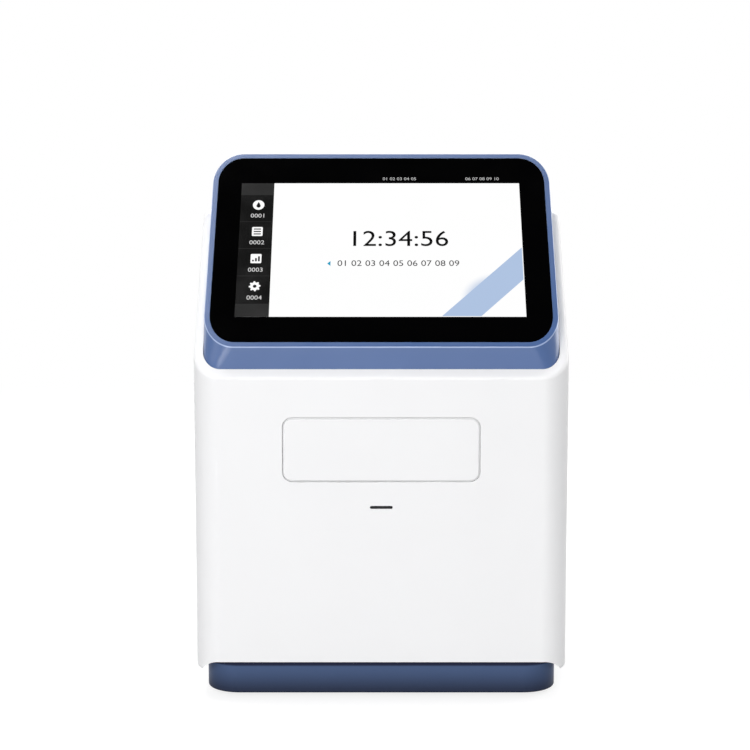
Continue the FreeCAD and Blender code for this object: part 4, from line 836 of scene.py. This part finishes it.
@dataclass(frozen=True)
class IconDrawings:
    """The four plain icons of the screen's menu, each a light shape and the dark mark on it.

    The sizes and places that end in share are shares of the icon's radius.
    """

    radius: float = 3.5 * MM
    square_half_share: float = 0.92
    square_corner_share: float = 0.184
    drop_bulb_share: float = 0.36
    drop_sink_share: float = 0.18
    drop_tip_share: float = 0.324
    drop_tip_rise_share: float = 0.288
    line_half_length_share: float = 0.62
    line_half_width_share: float = 0.11
    line_pitch_share: float = 0.5
    bar_half_width_share: float = 0.15
    bar_pitch_share: float = 0.5
    bar_foot_share: float = -0.55
    bar_top_share: float = 0.1
    bar_growth_share: float = 0.35
    gear_root_share: float = 0.76
    gear_hole_share: float = 0.3
    gear_teeth: int = 8
    points_per_tooth: int = 4

    def draw_drop(self, icon: Plate, mark: Plate) -> None:
        """Draw a drop on a disc."""
        icon.disc((0.0, 0.0), self.radius)
        sink = self.radius * self.drop_sink_share
        mark.disc((0.0, -sink), self.radius * self.drop_bulb_share)
        rise = self.radius * self.drop_tip_rise_share
        mark.disc((0.0, rise), self.radius * self.drop_tip_share, segments=3)

    def draw_list(self, icon: Plate, mark: Plate) -> None:
        """Draw three lines on a rounded square."""
        self.draw_square(icon)
        half_length = self.radius * self.line_half_length_share
        half_width = self.radius * self.line_half_width_share
        for step in (-1, 0, 1):
            height = step * self.radius * self.line_pitch_share
            mark.rectangle((-half_length, height - half_width), (half_length, height + half_width))

    def draw_bars(self, icon: Plate, mark: Plate) -> None:
        """Draw three rising bars on a rounded square."""
        self.draw_square(icon)
        half_width = self.radius * self.bar_half_width_share
        foot = self.radius * self.bar_foot_share
        for step in (-1, 0, 1):
            middle = step * self.radius * self.bar_pitch_share
            top = self.radius * (self.bar_top_share + self.bar_growth_share * step)
            mark.rectangle((middle - half_width, foot), (middle + half_width, top))

    def draw_gear(self, icon: Plate, mark: Plate) -> None:
        """Draw a gear with its hole."""
        points = self.gear_teeth * self.points_per_tooth
        for index, vert in enumerate(icon.disc((0.0, 0.0), self.radius, points)):
            if index % self.points_per_tooth >= self.points_per_tooth // 2:
                vert.co *= self.gear_root_share
        mark.disc((0.0, 0.0), self.radius * self.gear_hole_share)

    def draw_square(self, icon: Plate) -> None:
        """Draw the rounded square under a mark."""
        half = self.radius * self.square_half_share
        icon.rectangle((-half, -half), (half, half), self.radius * self.square_corner_share)


@dataclass
class TouchScreen:
    """The lit picture on the touch screen, in thin layers over the cover glass.

    Places on the screen are (across, along) in the slant's own axes: across from the middle and
    along from the glass's lower edge.
    """

    layer_depth: float = 0.012 * MM
    field_low: Point = (-85.6 * MM, 19.2 * MM)
    field_high: Point = (84.6 * MM, 126.8 * MM)
    stripe_colour: Colour = (0.43, 0.55, 0.76)
    stripe_inset: float = 0.5 * MM
    stripe_start: float = 35.0 * MM
    stripe_end: float = 58.0 * MM
    stripe_rise: float = 1.11
    haze_low: Point = (38.0 * MM, 24.0 * MM)
    haze_high: Point = (76.0 * MM, 56.0 * MM)
    haze_centre: Point = (67.7 * MM, 31.6 * MM)
    haze_core: float = 12.0 * MM
    haze_radius: float = 22.5 * MM
    menu_cells: int = 4
    menu_width: float = 20.0 * MM
    menu_colour: Colour = (0.0065, 0.0065, 0.0065)
    band_height: float = 10.0 * MM
    band_colour: Colour = (0.025, 0.025, 0.025)
    separator: float = 0.35 * MM
    icon_stretch: float = 1.14
    icon_shift: float = 0.9 * MM
    icon_rise: float = 13.6 * MM
    caption_rise: float = 4.6 * MM
    caption_size: float = 4.6 * MM
    text_middle: float = 10.2 * MM
    readout_rise: float = 80.2 * MM
    readout_size: float = 17.8 * MM
    row_rise: float = 60.8 * MM
    row_size: float = 6.5 * MM
    marker_middle: float = -30.9 * MM
    marker_radius: float = 1.9 * MM
    marker_stretch: Point = (0.7, 1.2)
    status_middles: Point = (11.2 * MM, 62.0 * MM)
    status_rise: float = 130.5 * MM
    status_size: float = 3.4 * MM

    def plate(self, name: str, centre: Point = (0.0, 0.0), stretch: Point = (1.0, 1.0)) -> Plate:
        """Start a piece in the screen's axes.

        Args:
            name: The piece's name.
            centre: Where the piece's own middle lies on the screen.
            stretch: How much the piece is drawn out across and along.

        Returns:
            The empty piece.
        """
        move = Matrix.Translation((*centre, 0.0)) @ Matrix.Diagonal((*stretch, 1.0, 1.0))
        return Plate(name, screen_place() @ move)

    def close(self, plate: Plate, layer: Layer, finish: LitFinish) -> None:
        """Finish a piece as a part of one layer of the picture.

        Args:
            plate: The piece.
            layer: Its layer.
            finish: Its lit finish.
        """
        low = layer.value * self.layer_depth
        plate.finish(low, low + self.layer_depth, finish.build(), Body.HOUSING, "lcd")

    def cell_rises(self) -> list[float]:
        """Return the lower edge of each of the menu's cells, the top one first."""
        low = self.field_low[1] + self.band_height
        high = self.field_high[1] - self.band_height
        height = (high - low) / self.menu_cells
        return [low + height * index for index in reversed(range(self.menu_cells))]

    def menu_middle(self) -> float:
        """Return where the middle of the icons and captions lies across the screen."""
        return self.field_low[0] + self.menu_width / 2 + self.icon_shift

    def build_field(self) -> None:
        """Make the white field and its diagonal stripe, with the haze above the stripe's edge."""
        field = self.plate("display_field")
        field.rectangle(self.field_low, self.field_high)
        self.close(field, Layer.ON_GLASS, LitFinish("display_white", WHITE))
        stripe = self.plate("display_stripe")
        right = self.field_high[0] - self.stripe_inset
        bottom = self.field_low[1] + self.stripe_inset
        stripe.rectangle((self.field_low[0], bottom), (right, self.field_high[1]))
        upper = (self.stripe_start, self.field_low[1])
        lower = (self.stripe_end, self.field_low[1])
        stripe.cut(upper, (1.0, self.stripe_rise))
        stripe.cut(lower, (-1.0, -self.stripe_rise))
        self.close(stripe, Layer.ON_FIELD, LitFinish("display_pale_blue", self.stripe_colour))
        haze = self.plate("display_haze")
        haze.rectangle(self.haze_low, self.haze_high)
        haze.cut(upper, (-1.0, -self.stripe_rise))
        middle = screen_place() @ Vector((*self.haze_centre, 0.0))
        self.close(haze, Layer.ON_FIELD, LitFinish(
            "display_hazy_white", WHITE, haze_colour=self.stripe_colour, haze_place=tuple(middle),
            haze_core=self.haze_core, haze_radius=self.haze_radius))

    def build_menu(self) -> None:
        """Make the dark menu column with its bands and separators."""
        left, bottom = self.field_low
        right = left + self.menu_width
        top = self.field_high[1]
        column = self.plate("display_menu")
        column.rectangle((left, bottom), (right, top))
        self.close(column, Layer.ON_FIELD, LitFinish("display_dark", self.menu_colour))
        bands = self.plate("display_menu_bands")
        bands.rectangle((left, bottom), (right, bottom + self.band_height))
        bands.rectangle((left, top - self.band_height), (right, top))
        for rise in self.cell_rises()[:-1]:
            bands.rectangle((left, rise - self.separator), (right, rise))
        self.close(bands, Layer.ON_MENU, LitFinish("display_grey", self.band_colour))

    def build_icons(self) -> None:
        """Make the menu's four icons."""
        drawings = IconDrawings()
        draws = (drawings.draw_drop, drawings.draw_list, drawings.draw_bars, drawings.draw_gear)
        stretch = (1.0, self.icon_stretch)
        for number, (rise, draw) in enumerate(zip(self.cell_rises(), draws), start=1):
            centre = (self.menu_middle(), rise + self.icon_rise)
            icon = self.plate(f"display_icon_{number:02d}", centre, stretch)
            mark = self.plate(f"display_icon_mark_{number:02d}", centre, stretch)
            draw(icon, mark)
            self.close(icon, Layer.ON_BANDS, LitFinish("display_icon_white", WHITE))
            self.close(mark, Layer.ON_ICONS, LitFinish("display_icon_dark", self.menu_colour))

    def build_readout(self) -> None:
        """Make the readout, the row of numbers under it and the row's marker."""
        readout = self.plate("display_readout")
        readout.digits("12:34:56", self.readout_size, (self.text_middle, self.readout_rise))
        self.close(readout, Layer.ON_FIELD, LitFinish("display_black", (0.001, 0.001, 0.001)))
        row = self.plate("display_row")
        row.digits("01 02 03 04 05 06 07 08 09", self.row_size, (self.text_middle, self.row_rise))
        self.close(row, Layer.ON_FIELD, LitFinish("display_charcoal", (0.035, 0.035, 0.035)))
        centre = (self.marker_middle, self.row_rise)
        marker = self.plate("display_marker", centre, self.marker_stretch)
        marker.disc((0.0, 0.0), self.marker_radius, segments=3, turn=math.radians(90))
        self.close(marker, Layer.ON_FIELD, LitFinish("display_cyan", (0.02, 0.35, 0.55)))

    def build_small_print(self) -> None:
        """Make the captions of the menu and the status line over the field."""
        captions = self.plate("display_captions")
        for number, rise in enumerate(self.cell_rises(), start=1):
            place = (self.menu_middle(), rise + self.caption_rise)
            captions.digits(f"{number:04d}", self.caption_size, place)
        self.close(captions, Layer.ON_BANDS, LitFinish("display_caption_white", (0.7, 0.7, 0.7)))
        status = self.plate("display_status")
        for text, middle in zip(("01 02 03 04 05", "06 07 08 09 10"), self.status_middles):
            status.digits(text, self.status_size, (middle, self.status_rise))
        self.close(status, Layer.ON_GLASS, LitFinish("display_status_white", (0.55, 0.55, 0.55)))

    def build(self) -> None:
        """Make every layer of the picture."""
        self.build_field()
        self.build_menu()
        self.build_icons()
        self.build_readout()
        self.build_small_print()


@dataclass
class RockerMarks:
    """The line and the ring on the power switch's rocker."""

    rise_share: float = 0.5
    line_length: float = 3.2 * MM
    line_width: float = 0.55 * MM
    ring_radius: float = 1.6 * MM
    relief: float = 0.08 * MM
    approach: float = 10 * MM

    def seat(self, rise: float) -> Matrix:
        """Find the rocker's face at a height.

        Args:
            rise: The height over the rocker's middle.

        Returns:
            The matrix from the face's own axes there to the frame's.
        """
        low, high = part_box("switch_rocker")
        graph = bpy.context.evaluated_depsgraph_get()
        tree = BVHTree.FromObject(frame["nodes"]["switch_rocker"], graph)
        start = Vector(((low.x + high.x) / 2, high.y + self.approach, (low.z + high.z) / 2 + rise))
        point, normal, _, _ = tree.ray_cast(start, -Vector(REARWARD))
        return Matrix.Translation(point) @ normal.to_track_quat("Z", "Y").to_matrix().to_4x4()

    def build(self) -> None:
        """Make both marks in white paint."""
        low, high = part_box("switch_rocker")
        rise = (high.z - low.z) / 2 * self.rise_share
        paint = MouldedFinish("white_mark_paint", (0.8, 0.8, 0.8), 0.5).build()
        line = Plate("rocker_line", self.seat(rise))
        half_width = self.line_width / 2
        half_length = self.line_length / 2
        line.rectangle((-half_width, -half_length), (half_width, half_length))
        line.finish(-self.relief, self.relief, paint, Body.ROCKER, "rocker_plastic")
        ring = Plate("rocker_ring", self.seat(-rise))
        ring.disc((0.0, 0.0), self.ring_radius)
        inset = bmesh.ops.inset_region(
            ring.mesh, faces=ring.mesh.faces[:], thickness=self.line_width, use_boundary=True,
            use_even_offset=True)
        inner = [face for face in ring.mesh.faces if face not in inset["faces"]]
        bmesh.ops.delete(ring.mesh, geom=inner, context="FACES")
        ring.finish(-self.relief, self.relief, paint, Body.ROCKER, "rocker_plastic")


@dataclass(frozen=True)
class Lamp:
    """A soft rectangular lamp aimed at the instrument."""

    name: str
    place: Place
    size: Point
    power: float

    def build(self, target: Vector) -> None:
        """Make the lamp and aim it.

        Args:
            target: The point that it is aimed at.
        """
        light = bpy.data.lights.new(self.name, "AREA")
        light.shape = "RECTANGLE"
        light.size, light.size_y = self.size
        light.energy = self.power
        holder = bpy.data.objects.new(self.name, light)
        holder.location = self.place
        aim = target - Vector(self.place)
        holder.rotation_euler = aim.to_track_quat("-Z", "Y").to_euler()
        bpy.context.scene.collection.objects.link(holder)


@dataclass
class Studio:
    """The pale floor, the lamps, the plain world and the camera.

    The ceiling's darkness starts and is full at heights on the world's unit sphere. The camera's
    focal length and centre are in pixels of the photograph.
    """

    floor_half: float = 4.0
    floor_colour: Colour = (0.35, 0.35, 0.35)
    floor_lift: float = 0.78
    floor_near: float = 0.35
    floor_far: float = 1.2
    ambient: float = 0.28
    zenith: float = 0.015
    ceiling_start: float = 0.6
    ceiling_full: float = 0.92
    image_pixels: float = 750.0
    focal_pixels: float = 2135.5
    sensor: float = 36.0
    centre_pixel: float = 381.3
    camera_place: Place = (0.0, -1.3422, 0.3682)
    camera_pitch: float = math.radians(8.19)
    lamps: tuple[Lamp, ...] = (
        Lamp("key_lamp", (-0.3, -1.95, 0.68), (1.5, 0.8), 30.4),
        Lamp("left_lamp", (-1.5, -1.05, 0.7), (0.7, 0.7), 2.0),
        Lamp("right_lamp", (1.6, 0.9, 0.75), (1.5, 1.3), 17.0),
        Lamp("left_rear_lamp", (-1.6, 1.3, 0.75), (1.5, 1.3), 7.0),
        Lamp("left_strip", (-0.53, -0.05, 1.9), (0.7, 0.34), 5.0),
        Lamp("rear_strip", (-0.05, 0.37, 1.9), (1.1, 0.34), 10.0),
        Lamp("rear_lamp", (0.0, 2.0, 1.1), (1.6, 1.0), 20.0),
    )

    def floor_material(self) -> bpy.types.Material:
        """Build the floor's paint, which keeps a shadow close by and otherwise shows white."""
        graph = ShaderGraph("studio_floor")
        far = graph.ramp(
            graph.distance_from(ORIGIN), self.floor_near, self.floor_far, ease=Ease.SMOOTH)
        paint = graph.nodes.new("ShaderNodeBsdfDiffuse")
        graph.links.new(graph.tint(far, self.floor_colour, BLACK), paint.inputs["Color"])
        lift = graph.ramp(far, 0.0, 1.0, self.floor_lift, 1.0)
        glow = graph.nodes.new("ShaderNodeEmission")
        strength = graph.combine(Join.PRODUCT, lift, graph.seen_directly())
        graph.links.new(strength, glow.inputs["Strength"])
        total = graph.nodes.new("ShaderNodeAddShader")
        graph.links.new(paint.outputs["BSDF"], total.inputs[0])
        graph.links.new(glow.outputs["Emission"], total.inputs[1])
        graph.links.new(total.outputs["Shader"], graph.output.inputs["Surface"])
        return graph.material

    def build_floor(self) -> None:
        """Make the floor."""
        mesh = bmesh.new()
        bmesh.ops.create_grid(mesh, x_segments=1, y_segments=1, size=self.floor_half)
        data = bpy.data.meshes.new("studio_floor")
        mesh.to_mesh(data)
        mesh.free()
        data.materials.append(self.floor_material())
        floor = bpy.data.objects.new("studio_floor", data)
        bpy.context.scene.collection.objects.link(floor)
        log.info("made the floor")

    def build_world(self) -> None:
        """Make the world: a plain light, seen as white but for a dark ceiling."""
        world = bpy.data.worlds.new("studio_world")
        world.use_nodes = True
        bpy.context.scene.world = world
        graph = NodeGraph(world.node_tree, "ShaderNodeOutputWorld")
        parts = graph.nodes.new("ShaderNodeSeparateXYZ")
        graph.links.new(graph.coordinates.outputs["Generated"], parts.inputs["Vector"])
        ceiling = graph.ramp(
            parts.outputs["Z"], self.ceiling_start, self.ceiling_full, 1.0, self.zenith,
            Ease.SMOOTH)
        seen = graph.nodes.new("ShaderNodeBackground")
        seen.inputs["Color"].default_value = linear(WHITE)
        graph.links.new(ceiling, seen.inputs["Strength"])
        lighting = graph.nodes.new("ShaderNodeBackground")
        lighting.inputs["Color"].default_value = linear(WHITE)
        lighting.inputs["Strength"].default_value = self.ambient
        choice = graph.nodes.new("ShaderNodeMixShader")
        graph.links.new(graph.seen_directly(), choice.inputs["Fac"])
        graph.links.new(lighting.outputs["Background"], choice.inputs[1])
        graph.links.new(seen.outputs["Background"], choice.inputs[2])
        graph.links.new(choice.outputs["Shader"], graph.output.inputs["Surface"])
        log.info("made the world")

    def build_camera(self) -> None:
        """Make the camera of the photograph's view."""
        data = bpy.data.cameras.new("photo_camera")
        data.sensor_width = self.sensor
        data.lens = self.focal_pixels / self.image_pixels * self.sensor
        data.shift_x = (self.image_pixels / 2 - self.centre_pixel) / self.image_pixels
        camera = bpy.data.objects.new("photo_camera", data)
        camera.location = self.camera_place
        camera.rotation_euler = (math.pi / 2 - self.camera_pitch, 0.0, 0.0)
        bpy.context.scene.collection.objects.link(camera)
        bpy.context.scene.camera = camera
        log.info("made the camera")

    def build(self) -> None:
        """Make the whole studio."""
        self.build_floor()
        self.build_world()
        target = (Vector(CAD_BOX[0]) + Vector(CAD_BOX[1])) / 2
        for lamp in self.lamps:
            lamp.build(target)
        self.build_camera()
        bpy.context.scene.view_settings.view_transform = "Standard"


def main() -> None:
    """Dress the frame, add the finer pieces and set up the studio."""
    logging.basicConfig(level=logging.INFO, format="%(message)s")
    FrameDresser({"cover_glass": GLASS_EDGE_ROUND}).dress(frame["record"]["subparts"])
    TouchScreen().build()
    RockerMarks().build()
    Studio().build()


if __name__ == "__main__":
    main()
